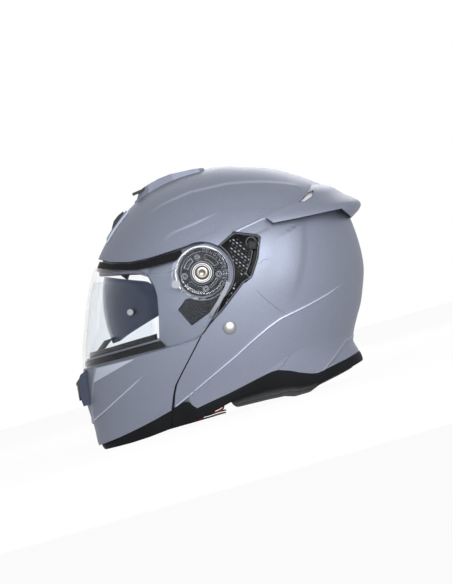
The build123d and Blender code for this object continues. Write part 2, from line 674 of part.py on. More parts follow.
def buckle_body():
    """Buckle on the left strap's end, with a mouth on the right for the toothed tongue."""
    half = BUCKLE_HEIGHT / 2
    room = STRAP_WALL / 2 + RUN_GAP
    block = on_strap(BUCKLE_LENGTH, STRAP_WIDTH + 2 * BUCKLE_RIM, -half, half)
    block = fillet(block.edges().filter_by(Axis.Z), BUCKLE_RIM)
    return block - on_strap(BUCKLE_LENGTH - BUCKLE_RIM, STRAP_WIDTH + 2 * RUN_GAP, -room, room)


def buckle_lever():
    """Lever under the buckle that lets the tongue go, with its hinge barrel at its left end."""
    seat = -BUCKLE_HEIGHT / 2 - SEAT_GAP
    length = BUCKLE_LENGTH - 2 * BUCKLE_RIM
    blade = on_strap(length, STRAP_WIDTH, seat - LEVER_WALL, seat)
    barrel_place = blade.bounding_box()
    blade = fillet(blade.edges().filter_by(Axis.Z).group_by(Axis.Y)[-1], BUCKLE_RIM)
    barrel_bar = Rot(0, RIGHT_ANGLE, 0) * Cylinder(LEVER_WALL / 2, STRAP_WIDTH)
    centre = barrel_place.center()
    return Pos(0, -BUCKLE_RIM, 0) * (blade + Pos(centre.X, barrel_place.min.Y, centre.Z) * barrel_bar)


def chin_strap_right():
    """Right strap with the toothed tongue that goes into the buckle."""
    return strap_band(STRAP_LINE_SHARE[-1][0] * HELMET_WIDTH - STRAP_TONGUE, 0)


def chin_strap_left():
    """Left strap, which ends at the buckle."""
    buckle_end = BUCKLE_LENGTH - STRAP_LINE_SHARE[-1][0] * HELMET_WIDTH
    return left(strap_band(buckle_end + SEAT_GAP, 0))


# Sun visor inside the shell
def sun_visor():
    """Egg-shaped smoked lens with an arm and a boss on each side."""
    lens = (slab(outline(SUN_LENS_SHARE)) & egg(SUN_WALL / 2)) - egg(-SUN_WALL / 2)
    arm = outline(SUN_ARM_SHARE) + disc(at(SUN_PIVOT_SHARE), SUN_BOSS_RADIUS)
    lens = lens + plate(arm, SUN_ARM_INNER, SUN_ARM_INNER + SUN_ARM_WALL)
    return whole(bore(lens, SUN_PIVOT_SHARE, SUN_PIN_RADIUS + PIN_GAP))


def sun_visor_bracket():
    """Boss on the shell's inner wall with the pin that the sun visor turns on."""
    pivot = at(SUN_PIVOT_SHARE)
    face = SUN_ARM_INNER + SUN_ARM_WALL + PIN_GAP
    boss = rod(pivot, SUN_BRACKET_RADIUS, face, FLOOR_LEVEL - SHELL_WALL - SEAT_GAP)
    return boss + rod(pivot, SUN_PIN_RADIUS, SUN_ARM_INNER - RUN_GAP, FLOOR_LEVEL - SEAT_GAP)


def slide_channel():
    """Side-view channel that the slider's stem runs in."""
    ends = at(SUN_SLIDE_TOP_SHARE), at(SUN_SLIDE_FOOT_SHARE)
    return trace(Line(*ends), line_width=SUN_SLOT_WIDTH) + [disc(end, SUN_SLOT_WIDTH / 2) for end in ends]


def sun_visor_slider():
    """Knob on the left that raises and lowers the sun visor."""
    stem_face = disc(at(SUN_SLIDE_TOP_SHARE), SUN_SLOT_WIDTH / 2 - SUN_STEM_GAP)
    knob = layer(outline(SUN_KNOB_SHARE), -SUN_KNOB_PROUD - PANEL_PROUD, -PANEL_PROUD - SUN_KNOB_LIFT)
    return left(knob + layer(stem_face, -PANEL_PROUD - SUN_KNOB_LIFT - RUN_GAP, SUN_STEM_DEPTH))


# Side panels, vents and spoiler
def cells():
    """Side-view places of the panel's honeycomb cells: a field behind the pivot and a row to the tip."""
    x0, z0 = at(CELL_START_SHARE)
    places = []
    for row in range(CELL_ROWS):
        for column in range(CELL_COLUMNS - row // CELL_THIN_ROWS):
            shift = CELL_PITCH * (column + (row % 2) / 2) + CELL_DRIFT * row
            places.append((x0 + shift, z0 - row * CELL_PITCH * sin(pi / 3)))
    (x1, z1), (x2, z2) = at(TIP_CELL_START_SHARE), at(TIP_CELL_END_SHARE)
    for share in np.linspace(0, 1, TIP_CELLS):
        places.append((x1 + share * (x2 - x1), z1 + share * (z2 - z1)))
    return places


def side_panel_right():
    """Vent panel with honeycomb cells."""
    face = outline(PANEL_SHARE) - side_zone(0)
    panel = layer(face, -PANEL_PROUD, PANEL_WALL - SEAT_GAP)
    return panel - [slab(Pos(*place) * RegularPolygon(CELL_RADIUS, 6)) for place in cells()]


def side_panel_left():
    """Vent panel with a channel for the sun visor's slider."""
    return left(side_panel_right() - slab(slide_channel()))


def top_vent_housing():
    """Intake on the crown with a slot for its shutter."""
    plan = [(x * HELMET_LENGTH, y * HELMET_WIDTH) for x, y in TOP_VENT_PLAN_SHARE]
    face = make_face(Polyline(*[(x, -y) for x, y in plan], *plan[::-1], close=True))
    foot = TOP_VENT_FOOT_SHARE * HELMET_HEIGHT
    rise = HELMET_HEIGHT - foot + 2 * TOP_VENT_PROUD
    hood = slab(outline(TOP_VENT_SHARE)) & (Pos(0, 0, foot) * extrude(face, amount=rise, taper=TOP_VENT_LEAN))
    hood = (hood & skin(-TOP_VENT_PROUD)) - skin(-SEAT_GAP)
    return whole(hood - (slab(outline(TOP_SLOT_SHARE)) & middle_strip(TOP_SLOT_HALF_WIDTH)))


def top_vent_slider():
    """Shutter in the crown intake."""
    half = plate(outline(TOP_SHUTTER_SHARE), 0, TOP_SLOT_HALF_WIDTH - RUN_GAP)
    return whole(half)


def brow_vent_frame():
    """Low frame of the brow intake."""
    face = plate(outline(BROW_VENT_SHARE), -OVERRUN, BROW_VENT_HALF_WIDTH)
    return whole((face & skin(-BROW_VENT_PROUD)) - skin(-SEAT_GAP))


def brow_vent_button():
    """Slider of the brow intake."""
    face = plate(outline(BROW_BUTTON_SHARE), -OVERRUN, BROW_BUTTON_HALF_WIDTH)
    return whole((face & skin(-BROW_BUTTON_PROUD)) - skin(-BROW_VENT_PROUD - RUN_GAP))


def spoiler_form():
    """Body that the spoiler's outer surface follows."""
    sections = []
    for height, rear, side in SPOILER_STATION_SHARE:
        level = height * HELMET_HEIGHT
        front = np.interp(level, *profiles(0)[0])
        reach = rear * HELMET_LENGTH, side * HELMET_WIDTH, level
        sections.append(oval(front, *reach, SPOILER_FULLNESS))
    return Solid.make_loft(sections)


def rear_spoiler():
    """Spoiler round the back of the crown with an exhaust pocket on each side."""
    wing = (spoiler_form() & slab(outline(SPOILER_SHARE))) - skin(-SEAT_GAP)
    return whole(wing - (slab(outline(EXHAUST_SHARE)) - skin(-EXHAUST_FLOOR)))


def exhaust_grille():
    """Light insert in a spoiler pocket."""
    return layer(offset(outline(EXHAUST_SHARE), amount=-RUN_GAP), -EXHAUST_PROUD, -EXHAUST_FLOOR - SEAT_GAP)


# Pivots
def pivot_pin():
    """Headed pin that the chin bar and the visor turn on."""
    pivot = at(PIVOT_SHARE)
    tail = FLOOR_LEVEL - SHELL_WALL - SEAT_GAP
    pin = rod(pivot, PIN_RADIUS, tail - PIN_HEAD_WALL, RING_LEVEL + PIN_HEAD_WALL)
    head = rod(pivot, PIN_HEAD_RADIUS, RING_LEVEL, RING_LEVEL + PIN_HEAD_WALL)
    return pin + head + rod(pivot, PIN_HEAD_RADIUS, tail - PIN_HEAD_WALL, tail)


def ratchet_plate():
    """Toothed detent plate on a chin bar arm, which the visor clicks round."""
    points = []
    for step in range(2 * RATCHET_TEETH):
        turn = pi * step / RATCHET_TEETH
        radius = RATCHET_RADIUS - RATCHET_TOOTH * (step % 2)
        points.append((radius * cos(turn), radius * sin(turn)))
    hole = Pos((HUB_RING_RADIUS + RATCHET_RADIUS) / 2, 0) * Circle(PIN_RADIUS)
    face = make_face(Polyline(*points, close=True)) - Circle(PIN_RADIUS + PIN_GAP)
    face = face - [Rot(0, 0, turn) * hole for turn in RATCHET_HOLE_TURNS]
    return plate(Pos(*at(PIVOT_SHARE)) * face, RATCHET_LEVEL, RATCHET_LEVEL + RATCHET_WALL)


def hub_ring():
    """Bright ring on a visor ear round the pin's head."""
    face = disc(at(PIVOT_SHARE), HUB_RING_RADIUS) - disc(at(PIVOT_SHARE), PIN_HEAD_RADIUS + RUN_GAP)
    return plate(face, RING_LEVEL, RING_LEVEL + HUB_RING_WALL)


# Chin bar
def chin_bar_wall():
    """Chin bar with its arms and the ledge under the visor."""
    run = offset(visor_face() + disc(at(PIVOT_SHARE), DISH_RADIUS), amount=PART_LINE)
    inner_run = offset(run, amount=ARM_WALL)
    hub = ARM_DISC_RADIUS + SEAT_GAP
    outer = pressed_body(0, ((run, ARM_DEPTH),), hub, ARM_LEVEL + ARM_WALL)
    inner = pressed_body(SHELL_WALL, ((inner_run, ARM_DEPTH + ARM_WALL),), hub + ARM_WALL, ARM_LEVEL)
    return outer - inner


def chin_bar_shell():
    """Painted chin bar, cut along its lower edging and bored for the pivot pins."""
    wall = (chin_bar_wall() & slab(arm_face())) - slab(below_trim())
    return whole(bore(wall, PIVOT_SHARE, PIN_RADIUS + PIN_GAP))


def chin_bar_trim():
    """Edging of the chin bar."""
    return whole(edge_band() & slab(ahead_of_gap()))


def chin_bar_liner():
    """Impact foam in the chin bar, with room for the latches and an air duct."""
    foam = layer(outline(CHIN_FOAM_SHARE), SHELL_WALL + SEAT_GAP, CHIN_FOAM_DEPTH)
    foam = foam - plate(outline(LATCH_ROOM_SHARE), LATCH_REACH - 2 * OVERRUN, SLAB_REACH)
    foam = foam - (slab(below_trim()) - skin(TRIM_WALL))
    return whole(foam - across(*CHIN_VENT_ROOM))


def chin_bar_cap():
    """Black cap over the foam, behind the visor's lower edge."""
    return whole(layer(outline(CHIN_CAP_SHARE), ARM_DEPTH + ARM_WALL + SEAT_GAP, CHIN_CAP_DEPTH))


def eyeport_seal_lower():
    """Rubber lip under the visor's lower edge."""
    return whole(layer(outline(LOW_SEAL_SHARE), VISOR_INNER + SEAT_GAP, ARM_DEPTH - SEAT_GAP))


def breath_deflector():
    """Leaning wall in front of the nose."""
    foot, top = CHIN_CAP_SHARE[3][1] * HELMET_HEIGHT + SEAT_GAP, DEFLECTOR_TOP_SHARE * HELMET_HEIGHT
    outer = barrel(((foot, DEFLECTOR_FOOT), (top, DEFLECTOR_FOOT + DEFLECTOR_LEAN)))
    hollow_inset = DEFLECTOR_FOOT + DEFLECTOR_WALL
    hollow = barrel(((foot, hollow_inset), (top, hollow_inset + DEFLECTOR_LEAN)))
    return whole((outer - hollow) & across(DEFLECTOR_HALF_WIDTH, BELOW_SHARE, TOP_SHARE))


def chin_curtain():
    """Wind flap under the chin, parted at the release button."""
    levels = CURTAIN_FOOT, CURTAIN_FOOT + CURTAIN_WALL
    outer, hollow = [barrel([(level, inset) for level in levels]) for inset in (CURTAIN_NEAR, CURTAIN_FAR)]
    face = outline(((AHEAD_SHARE, BELOW_SHARE), (CURTAIN_REAR_SHARE, BELOW_SHARE),
                    (CURTAIN_REAR_SHARE, TOP_SHARE), (AHEAD_SHARE, TOP_SHARE)))
    return whole((outer - hollow) & plate(face, RELEASE_HALF_WIDTH + HOUSING_RIM, SLAB_REACH))


def release_place():
    """Middle of the release button in the side view, at its foot."""
    front = np.interp(HOUSING_FOOT, *profiles(0)[0])
    return -front + RELEASE_NEAR


def release_block(grow, low, high):
    """Block of the button's plan, grown all round."""
    size = RELEASE_LENGTH + 2 * grow, 2 * (RELEASE_HALF_WIDTH + grow), high - low
    block = Box(*size, align=(Align.MIN, Align.CENTER, Align.MIN))
    return Pos(release_place() - grow, 0, low) * block


def release_button():
    """Button under the chin that draws the latches."""
    block = release_block(0, RELEASE_FOOT, RELEASE_FOOT + RELEASE_HEIGHT)
    return fillet(block.edges().filter_by(Axis.Z), BUCKLE_RIM)


def release_housing():
    """Guide of the release button under the chin bar's foam."""
    top = CHIN_FOAM_SHARE[0][1] * HELMET_HEIGHT - SEAT_GAP
    roof = RELEASE_FOOT + RELEASE_HEIGHT + RELEASE_TRAVEL + PIN_GAP
    return release_block(HOUSING_RIM, HOUSING_FOOT, top) - release_block(PIN_GAP, 0, roof)


def chin_vent_cover():
    """Intake cover on the front of the chin bar, with a pocket for its shutter."""
    hood = plate(outline(CHIN_VENT_SHARE), -OVERRUN, CHIN_VENT_HALF_WIDTH) & skin(-CHIN_VENT_PROUD)
    return whole(hood - skin(-SEAT_GAP) - (across(*CHIN_VENT_ROOM) - skin(-CHIN_VENT_FLOOR)))


def chin_vent_slider():
    """Shutter of the chin intake."""
    return whole((across(*CHIN_SHUTTER) & skin(-SHUTTER_PROUD)) - skin(-CHIN_VENT_FLOOR - RUN_GAP))


def arm_cover():
    """Dark cover on a chin bar arm, below the pivot."""
    face = outline(ARM_COVER_SHARE) - disc(at(PIVOT_SHARE), EAR_RADIUS + RUN_GAP)
    return layer(face, COVER_DEPTH, COVER_DEPTH + COVER_WALL)


# Latches
def latch_hook():
    """Hook on the chin bar that rests over the shell's striker."""
    pivot = at(LATCH_PIVOT_SHARE)
    face = outline(HOOK_SHARE) + disc(pivot, LATCH_BOSS_RADIUS) - disc(pivot, LATCH_PIN_RADIUS + PIN_GAP)
    face = face - disc(at(STRIKER_SHARE), LATCH_PIN_RADIUS + RUN_GAP)
    return plate(face, LATCH_REACH, LATCH_REACH + LATCH_WALL)


def latch_pin():
    """Pin from the chin bar's wall that a latch hook turns on."""
    pivot = at(LATCH_PIVOT_SHARE)
    pin = rod(pivot, LATCH_PIN_RADIUS, LATCH_REACH - RUN_GAP, SLAB_REACH)
    collar = rod(pivot, LATCH_BOSS_RADIUS, LATCH_REACH + LATCH_WALL + PIN_GAP, SLAB_REACH)
    return (pin + collar) & skin(SHELL_WALL + SEAT_GAP)


def latch_striker():
    """Striker on the inner wall of the shell's front edge."""
    place = at(STRIKER_SHARE)
    depth = SIDE_FLOOR + SHELL_WALL + SEAT_GAP
    pin = rod(place, LATCH_PIN_RADIUS, LATCH_REACH - STRIKER_TAIL, SLAB_REACH) & skin(depth)
    return pin + layer(disc(place, STRIKER_BASE_RADIUS), depth, depth + STRIKER_BASE_WALL)


# Visor
def visor_lens():
    """Clear visor with its ears and lifting tab."""
    outer = pressed_body(-VISOR_PROUD, (), VISOR_DRUM_RADIUS, EAR_LEVEL + VISOR_WALL)
    inner = pressed_body(VISOR_INNER, (), VISOR_DRUM_RADIUS + VISOR_WALL, EAR_LEVEL)
    lens = (outer - inner) & slab(visor_face())
    tab = plate(outline(TAB_SHARE), 0, TAB_HALF_WIDTH) - skin(VISOR_INNER / 2)
    return whole(bore(lens + tab, PIVOT_SHARE, PIN_RADIUS + PIN_GAP))


def anti_fog_insert():
    """Thin inner lens against mist."""
    depth = VISOR_INNER + SEAT_GAP
    return whole(layer(outline(INSERT_SHARE), depth, depth + INSERT_WALL))


def insert_pin():
    """Pin that holds the inner lens."""
    face = disc(at(INSERT_PIN_SHARE), INSERT_PIN_RADIUS)
    return layer(face, -VISOR_PROUD - INSERT_WALL, -VISOR_PROUD - SEAT_GAP)


def visor_stud():
    """Lock stud on the visor."""
    return layer(disc(at(STUD_SHARE), STUD_RADIUS), -VISOR_PROUD - STUD_PROUD, -VISOR_PROUD - SEAT_GAP)


SINGLE_PIECES = (
    outer_shell, shell_edge_trim, eps_liner, crown_liner, neck_roll, eyeport_seal_upper, top_vent_housing,
    top_vent_slider, brow_vent_frame, brow_vent_button, rear_spoiler, side_panel_left, side_panel_right,
    chin_strap_left, chin_strap_right, buckle_body, buckle_lever, sun_visor, sun_visor_slider,
    chin_bar_shell, chin_bar_trim, chin_bar_liner, chin_bar_cap, eyeport_seal_lower, breath_deflector,
    chin_curtain, release_button, release_housing, chin_vent_cover, chin_vent_slider, visor_lens,
    anti_fog_insert,
)
HANDED_PIECES = (cheek_pad, arm_cover, latch_hook)
PAIRED_PIECES = (
    pull_tab, strap_rivet, sun_visor_bracket, exhaust_grille, pivot_pin, ratchet_plate, hub_ring, latch_pin,
    latch_striker, insert_pin, visor_stud,
)


def main():
    """Build and write every sub-part."""
    os.makedirs("parts", exist_ok=True)
    for maker in SINGLE_PIECES:
        save(maker.__name__, maker())
    for maker in HANDED_PIECES:
        piece = maker()
        save(maker.__name__ + "_right", piece)
        save(maker.__name__ + "_left", left(piece))
    for maker in PAIRED_PIECES:
        piece = maker()
        save(maker.__name__ + "s", piece, left(piece))


if __name__ == "__main__":
    main()
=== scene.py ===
"""Looks of a flip-up motorcycle helmet, laid over its CAD model.

Lengths inside the functions are in millimetres and turn into metres as a mesh is made. The front of the
helmet points to -X, the wearer's left side to -Y, and +Z is up. A place seen from the side is a pair (x, z).
"""

import json
from functools import lru_cache
from math import cos, pi, radians, sin

import bmesh
import bpy
import numpy as np
from mathutils import Matrix, Vector


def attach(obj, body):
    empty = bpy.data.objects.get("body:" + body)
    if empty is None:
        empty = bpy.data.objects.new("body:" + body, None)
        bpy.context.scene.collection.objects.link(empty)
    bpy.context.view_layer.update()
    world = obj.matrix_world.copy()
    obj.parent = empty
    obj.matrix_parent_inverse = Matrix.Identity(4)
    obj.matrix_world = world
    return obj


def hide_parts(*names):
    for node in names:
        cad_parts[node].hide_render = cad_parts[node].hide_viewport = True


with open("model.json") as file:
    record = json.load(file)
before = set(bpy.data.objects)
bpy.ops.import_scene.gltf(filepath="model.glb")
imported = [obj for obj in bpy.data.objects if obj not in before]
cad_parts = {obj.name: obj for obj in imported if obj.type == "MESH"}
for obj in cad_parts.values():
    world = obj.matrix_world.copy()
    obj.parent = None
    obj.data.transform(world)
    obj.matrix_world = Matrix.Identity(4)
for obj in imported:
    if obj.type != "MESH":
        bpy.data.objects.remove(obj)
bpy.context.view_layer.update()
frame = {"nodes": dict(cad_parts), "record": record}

bl_info = {
    "name": "Flip-up helmet",
    "version": (1, 0, 0),
    "blender": (4, 5, 0),
    "location": "View3D > Sidebar > Helmet",
    "description": "Dresses the helmet's CAD model with painted, clear, soft and fitted pieces",
    "category": "Object",
}

MM = 0.001

# Body of the helmet, the same figures as the CAD model's
LENGTH, HEIGHT, WIDTH = 342.0, 257.0, 248.0
FRONT_FULLNESS, REAR_FULLNESS = 2.1, 2.3
MIDDLE = 0.015 * LENGTH
STATION_SHARE = np.array([
    (-0.020, 0.462, 0.366, 0.362), (0.078, 0.484, 0.371, 0.399), (0.175, 0.486, 0.366, 0.431),
    (0.272, 0.480, 0.406, 0.460), (0.350, 0.466, 0.433, 0.478), (0.428, 0.449, 0.453, 0.492),
    (0.506, 0.427, 0.460, 0.500), (0.584, 0.404, 0.459, 0.498), (0.661, 0.377, 0.452, 0.482),
    (0.739, 0.341, 0.434, 0.442), (0.805, 0.300, 0.396, 0.393), (0.864, 0.254, 0.338, 0.336),
    (0.914, 0.205, 0.276, 0.268), (0.957, 0.146, 0.196, 0.188), (0.984, 0.083, 0.126, 0.116),
    (0.997, 0.025, 0.070, 0.050), (1.000, -0.015, 0.015, 0.000),
])
PROFILE_SAMPLES = 900

# Pivot of the chin bar and visor, and how far from the middle plane the parts round it lie
PIVOT = np.array((-10.6, 151.1))
PLATE_FOOT = 110.2
EAR_TOP = 115.05
RING_FOOT = 115.2

# Middle of the strap's rivet
RIVET = np.array((1.4, 88.9))

# How far the visor's face stands over the body, and the depths under the body of what lies behind its face
VISOR_PROUD = 0.45
COVER_DEPTH = 3.65
EYEPORT_HIGHLIGHT_DEPTH = 6.6
CROWN_DEPTH = 36.7
CHEEK_DEPTH = 37.0

# Lines seen from the side
TRIM_TOP = np.array([
    (-180, 3.6), (-159, 6.4), (-139.9, 9), (-120, 12.6), (-99.9, 17), (-80, 22.1), (-72.2, 24.9),
    (-65, 26.5), (-59.9, 23.9), (-55.1, 16.4), (-40, 19), (-19.8, 22.1), (0, 26), (19.8, 30.1),
    (30.1, 32.1), (38, 32.1), (49.9, 28), (59.9, 22.9), (70.1, 19), (77, 17.5), (89.9, 19.5),
    (110.1, 22.9), (124.8, 26.5), (150.1, 31.1),
])
TRIM_LOW = np.array([
    (-180, 0), (-130, 0), (-110.1, 1), (-89.9, 3.1), (-65, 4.9), (-55.1, 4.9), (-40, 8), (-19.8, 13.1),
    (0, 14.9), (19.8, 15.4), (40, 13.9), (59.9, 9), (74.9, 6.9), (89.9, 9), (114.9, 13.6), (127.9, 16.4),
    (150.1, 21.1),
])
GAP_LINE = np.array([
    (-88.9, -5.9), (-82.1, 14.9), (-79, 22.1), (-72.8, 37), (-68.1, 46), (-59.9, 55), (-40, 76.1),
    (-29.1, 87.9),
])


# Shapes
def smooth(value, low, high):
    """Smooth step: 0 at low, 1 at high, with flat ends."""
    share = np.clip((value - low) / (high - low), 0, 1)
    return share * share * (3 - 2 * share)


def run_length(points):
    """Length along a line at each of its points."""
    return np.concatenate([[0], np.cumsum(np.linalg.norm(np.diff(points, axis=0), axis=1))])


def along(points, shares):
    """Points at shares of the length of a line with corners."""
    points = np.asarray(points, float)
    run = run_length(points)
    return np.stack([np.interp(np.asarray(shares) * run[-1], run, column) for column in points.T], axis=-1)


def spline(points, shares):
    """Natural cubic spline through points, at shares of its chord length.

    The second derivatives solve the usual three-band system, and each span is the cubic that they give.
    """
    points = np.asarray(points, float)
    run = run_length(points)
    gap = np.diff(run)[:, None]
    slope = np.diff(points, axis=0) / gap
    system = np.eye(len(points))
    inner = np.arange(1, len(points) - 1)
    system[inner, inner - 1] = gap[:-1, 0]
    system[inner, inner] = 2 * (gap[:-1, 0] + gap[1:, 0])
    system[inner, inner + 1] = gap[1:, 0]
    right = np.zeros_like(points)
    right[1:-1] = 6 * np.diff(slope, axis=0)
    bend = np.linalg.solve(system, right)
    place = np.clip(np.asarray(shares) * run[-1], 0, run[-1])
    span = np.clip(np.searchsorted(run, place, side="right") - 1, 0, len(points) - 2)
    low, high = (place - run[span])[:, None], (run[span + 1] - place)[:, None]
    wide = gap[span]
    cubic = (bend[span] * high**3 + bend[span + 1] * low**3) / (6 * wide)
    return (cubic + (points[span] / wide - bend[span] * wide / 6) * high
            + (points[span + 1] / wide - bend[span + 1] * wide / 6) * low)


@lru_cache(maxsize=None)
def profiles(depth):
    """Front, rear and side profiles at a depth: the station splines moved inwards along their normals."""
    found = []
    for column, scale in ((1, LENGTH), (2, LENGTH), (3, WIDTH)):
        stations = np.stack([STATION_SHARE[:, column] * scale, STATION_SHARE[:, 0] * HEIGHT], axis=-1)
        curve = spline(stations, np.linspace(0, 1, PROFILE_SAMPLES))
        along_it = np.gradient(curve, axis=0)
        along_it /= np.linalg.norm(along_it, axis=1)[:, None]
        found.append((curve[:, 1] + depth * along_it[:, 0], curve[:, 0] - depth * along_it[:, 1]))
    return found


def half_width(place, depth=0.0):
    """How far the body reaches sideways at a side-view place: half width times (1 - u^n)^(1/n), where u is
    the place's share of the front or rear reach at its height."""
    x, z = place[..., 0], place[..., 1]
    front, rear, side = (np.interp(z, *profile) for profile in profiles(depth))
    ahead = x < MIDDLE
    reach = np.maximum(np.where(ahead, front + MIDDLE, rear - MIDDLE), 1e-6)
    full = np.where(ahead, FRONT_FULLNESS, REAR_FULLNESS)
    rest = np.clip(1 - np.abs((x - MIDDLE) / reach) ** full, 0, None)
    return side * rest ** (1 / full)


@lru_cache(maxsize=None)
def silhouette(depth=0.0):
    """Middle line of the body in side view, from under the back over the crown to under the front."""
    (front_z, front), (rear_z, rear), _ = profiles(depth)
    return np.concatenate([np.stack([rear, rear_z], -1), np.stack([-front, front_z], -1)[::-1]])


def share_on(line, places):
    """Share of a line's length at the point nearest to each place."""
    run = run_length(line)
    gaps = np.linalg.norm(np.asarray(places, float)[:, None] - line[None], axis=-1)
    return run[gaps.argmin(axis=1)] / run[-1]


def middle_line(start, end, shares, depth=0.0):
    """Part of the middle line between the points nearest to two places."""
    low, high = share_on(silhouette(depth), [start, end])
    return along(silhouette(depth), low + (high - low) * np.asarray(shares))


def ruled(foot, head, up):
    """Grid of straight lines between the points of two lines: the shares give its rows."""
    return foot[None] + (head - foot)[None] * up[:, None, None]


def ruled_across(start, end, across):
    """Grid of straight lines between the points of two lines: the shares give its columns."""
    return start[:, None] + (end - start)[:, None] * across[None, :, None]


def patch(foot, head, start, end, across, up):
    """Grid between four side-view lines: the sum of the two ruled grids less the one through the corners."""
    s, t = across[None, :, None], up[:, None, None]
    corners = (1 - s) * (1 - t) * foot[0] + s * (1 - t) * foot[-1] + (1 - s) * t * head[0] + s * t * head[-1]
    return (1 - t) * foot[None] + t * head[None] + (1 - s) * start[:, None] + s * end[:, None] - corners


def lift(places, depth=0.0):
    """Side-view grid laid on the right side of the body."""
    return np.stack([places[..., 0], half_width(places, depth), places[..., 1]], axis=-1)


def across_middle(grid):
    """Grid of the right side, whose last column is the middle, carried on over the left side."""
    grid = grid.copy()
    grid[:, -1, 1] = 0
    return np.concatenate([grid, grid[:, -2::-1] * (1, -1, 1)], axis=1)


def normals(grid):
    """Unit normals of a grid, pointing away from the middle of the helmet."""
    found = np.cross(np.gradient(grid, axis=0), np.gradient(grid, axis=1))
    found /= np.maximum(np.linalg.norm(found, axis=-1), 1e-9)[..., None]
    centre = np.array((MIDDLE, 0, HEIGHT / 2))
    return found * np.where((found * (grid - centre)).sum(-1).mean() > 0, 1, -1)


BEAD_REACH = 1.6
FAR_FROM_CREASE = 40.0


def from_line(places, line):
    """Distance from a side-view line, positive to the left of its run, and the share of its length there."""
    line = np.asarray(line, float)
    run = run_length(line)
    best = np.full(places.shape[:-1], np.inf)
    side, share = np.zeros_like(best), np.zeros_like(best)
    for start, end, length in zip(line[:-1], line[1:], run[:-1]):
        step = end - start
        rest = places - start
        t = np.clip((rest @ step) / (step @ step), 0, 1)
        gap = np.linalg.norm(rest - t[..., None] * step, axis=-1)
        nearer = gap < best - 1e-9
        best = np.where(nearer, gap, best)
        side = np.where(nearer, np.sign(step[0] * rest[..., 1] - step[1] * rest[..., 0]), side)
        share = np.where(nearer, (length + t * np.linalg.norm(step)) / run[-1], share)
    return best * side, share


def fold(places, crease):
    """Pressed crease: the surface right of the line drops over the run and comes back at the reach, with a
    small bead along the line, and fades over the given shares at its ends."""
    gap, share = from_line(places, crease["line"])
    run = crease["run"]
    start, end = crease["fade"]
    ends = (smooth(share, 0, start) if start else 1) * (1 - smooth(share, 1 - end, 1) if end else 1)
    ledge = smooth(-gap, 0, run) * (1 - smooth(-gap, run, crease["reach"]))
    return ends * (crease.get("bead", 0.0) * np.exp(-((gap / BEAD_REACH) ** 2)) - crease["drop"] * ledge)


def relief_of(places, creases):
    """Height that all the creases give a side-view grid together."""
    return sum(fold(places, crease) for crease in creases)


def crease_marks(places, creases):
    """Distance from the nearest crease and how sharp it is there, for the paint to draw its edge."""
    nearest = np.full(places.shape[:-1], FAR_FROM_CREASE)
    rise = np.zeros_like(nearest)
    for crease in creases:
        gap, share = from_line(places, crease["line"])
        start, end = crease["fade"]
        ends = smooth(share, 0, max(start, 1e-3)) * (1 - smooth(share, 1 - max(end, 1e-3), 1))
        nearer = np.abs(gap) < np.abs(nearest)
        nearest = np.where(nearer, gap, nearest)
        rise = np.where(nearer, ends * crease["edge"], rise)
    return nearest, rise


def doubled(values):
    """A grid's values for both faces of its wall."""
    return np.concatenate([values.ravel(), values.ravel()])


def mirrored(values):
    """Values over a grid of the right side, carried on over the left side."""
    return np.concatenate([values, values[:, -2::-1]], axis=1)


def crowded(count, power=1.8):
    """Shares from 0 to 1 that lie closer together towards 1, where the body turns away from the side view."""
    return 1 - (1 - np.linspace(0, 1, count)) ** power


def hump(share, power=4):
    """Flat-topped hump over shares from 0 to 1: 0 at both ends and 1 in the middle."""
    return 1 - (2 * share - 1) ** power


# Meshes
def cells(index):
    """Four-cornered faces of a grid of vertex numbers."""
    return np.stack([index[:-1, :-1], index[1:, :-1], index[1:, 1:], index[:-1, 1:]], -1).reshape(-1, 4)


def wall(outer, inner):
    """Closed wall: the outer grid, the inner grid turned round and the rim between them."""
    rows, columns = outer.shape[:2]
    count = rows * columns
    index = np.arange(count).reshape(rows, columns)
    ring = np.concatenate([index[0, :-1], index[:-1, -1], index[-1, :0:-1], index[:0:-1, 0]])
    ahead = np.roll(ring, -1)
    rim = np.stack([ring, ahead, ahead + count, ring + count], -1)
    faces = [cells(index), cells(index + count)[:, ::-1], rim]
    return np.concatenate([outer.reshape(-1, 3), inner.reshape(-1, 3)]), np.concatenate(faces)


def coat(grid, top, foot):
    """Closed wall along a grid's normals between two heights, each one value or one for each point."""
    out = normals(grid)
    top, foot = (np.broadcast_to(level, grid.shape[:2])[..., None] for level in (top, foot))
    return wall(grid + out * top, grid + out * foot)


def tube(rings, closed=False):
    """Closed skin over a row of rings. Unless the row is closed too, its ends are drawn to their middles."""
    if not closed:
        first, last = (np.repeat(ring.mean(0)[None], len(ring), 0)[None] for ring in (rings[0], rings[-1]))
        rings = np.concatenate([first, rings, last])
    rows, columns = rings.shape[:2]
    index = np.arange(rows * columns).reshape(rows, columns)
    index = np.concatenate([index, index[:, :1]], axis=1)
    if closed:
        index = np.concatenate([index, index[:1]])
    return rings.reshape(-1, 3), cells(index)


def turned(profile, centre, steps=64, closed=False):
    """Profile of (radius, level) pairs turned about a sideways axis through a side-view place."""
    profile = np.asarray(profile, float)
    turn = np.linspace(0, 2 * pi, steps, endpoint=False)
    radius, level = profile[:, 0][:, None], profile[:, 1][:, None]
    x, z = centre[0] + radius * np.cos(turn), centre[1] + radius * np.sin(turn)
    return tube(np.stack([x, level + 0 * turn, z], -1), closed)


def joined(*parts):
    """Several meshes as one list of vertices and faces."""
    vertices, faces, count = [], [], 0
    for points, quads in parts:
        vertices.append(points)
        faces.append(quads + count)
        count += len(points)
    return np.concatenate(vertices), np.concatenate(faces)


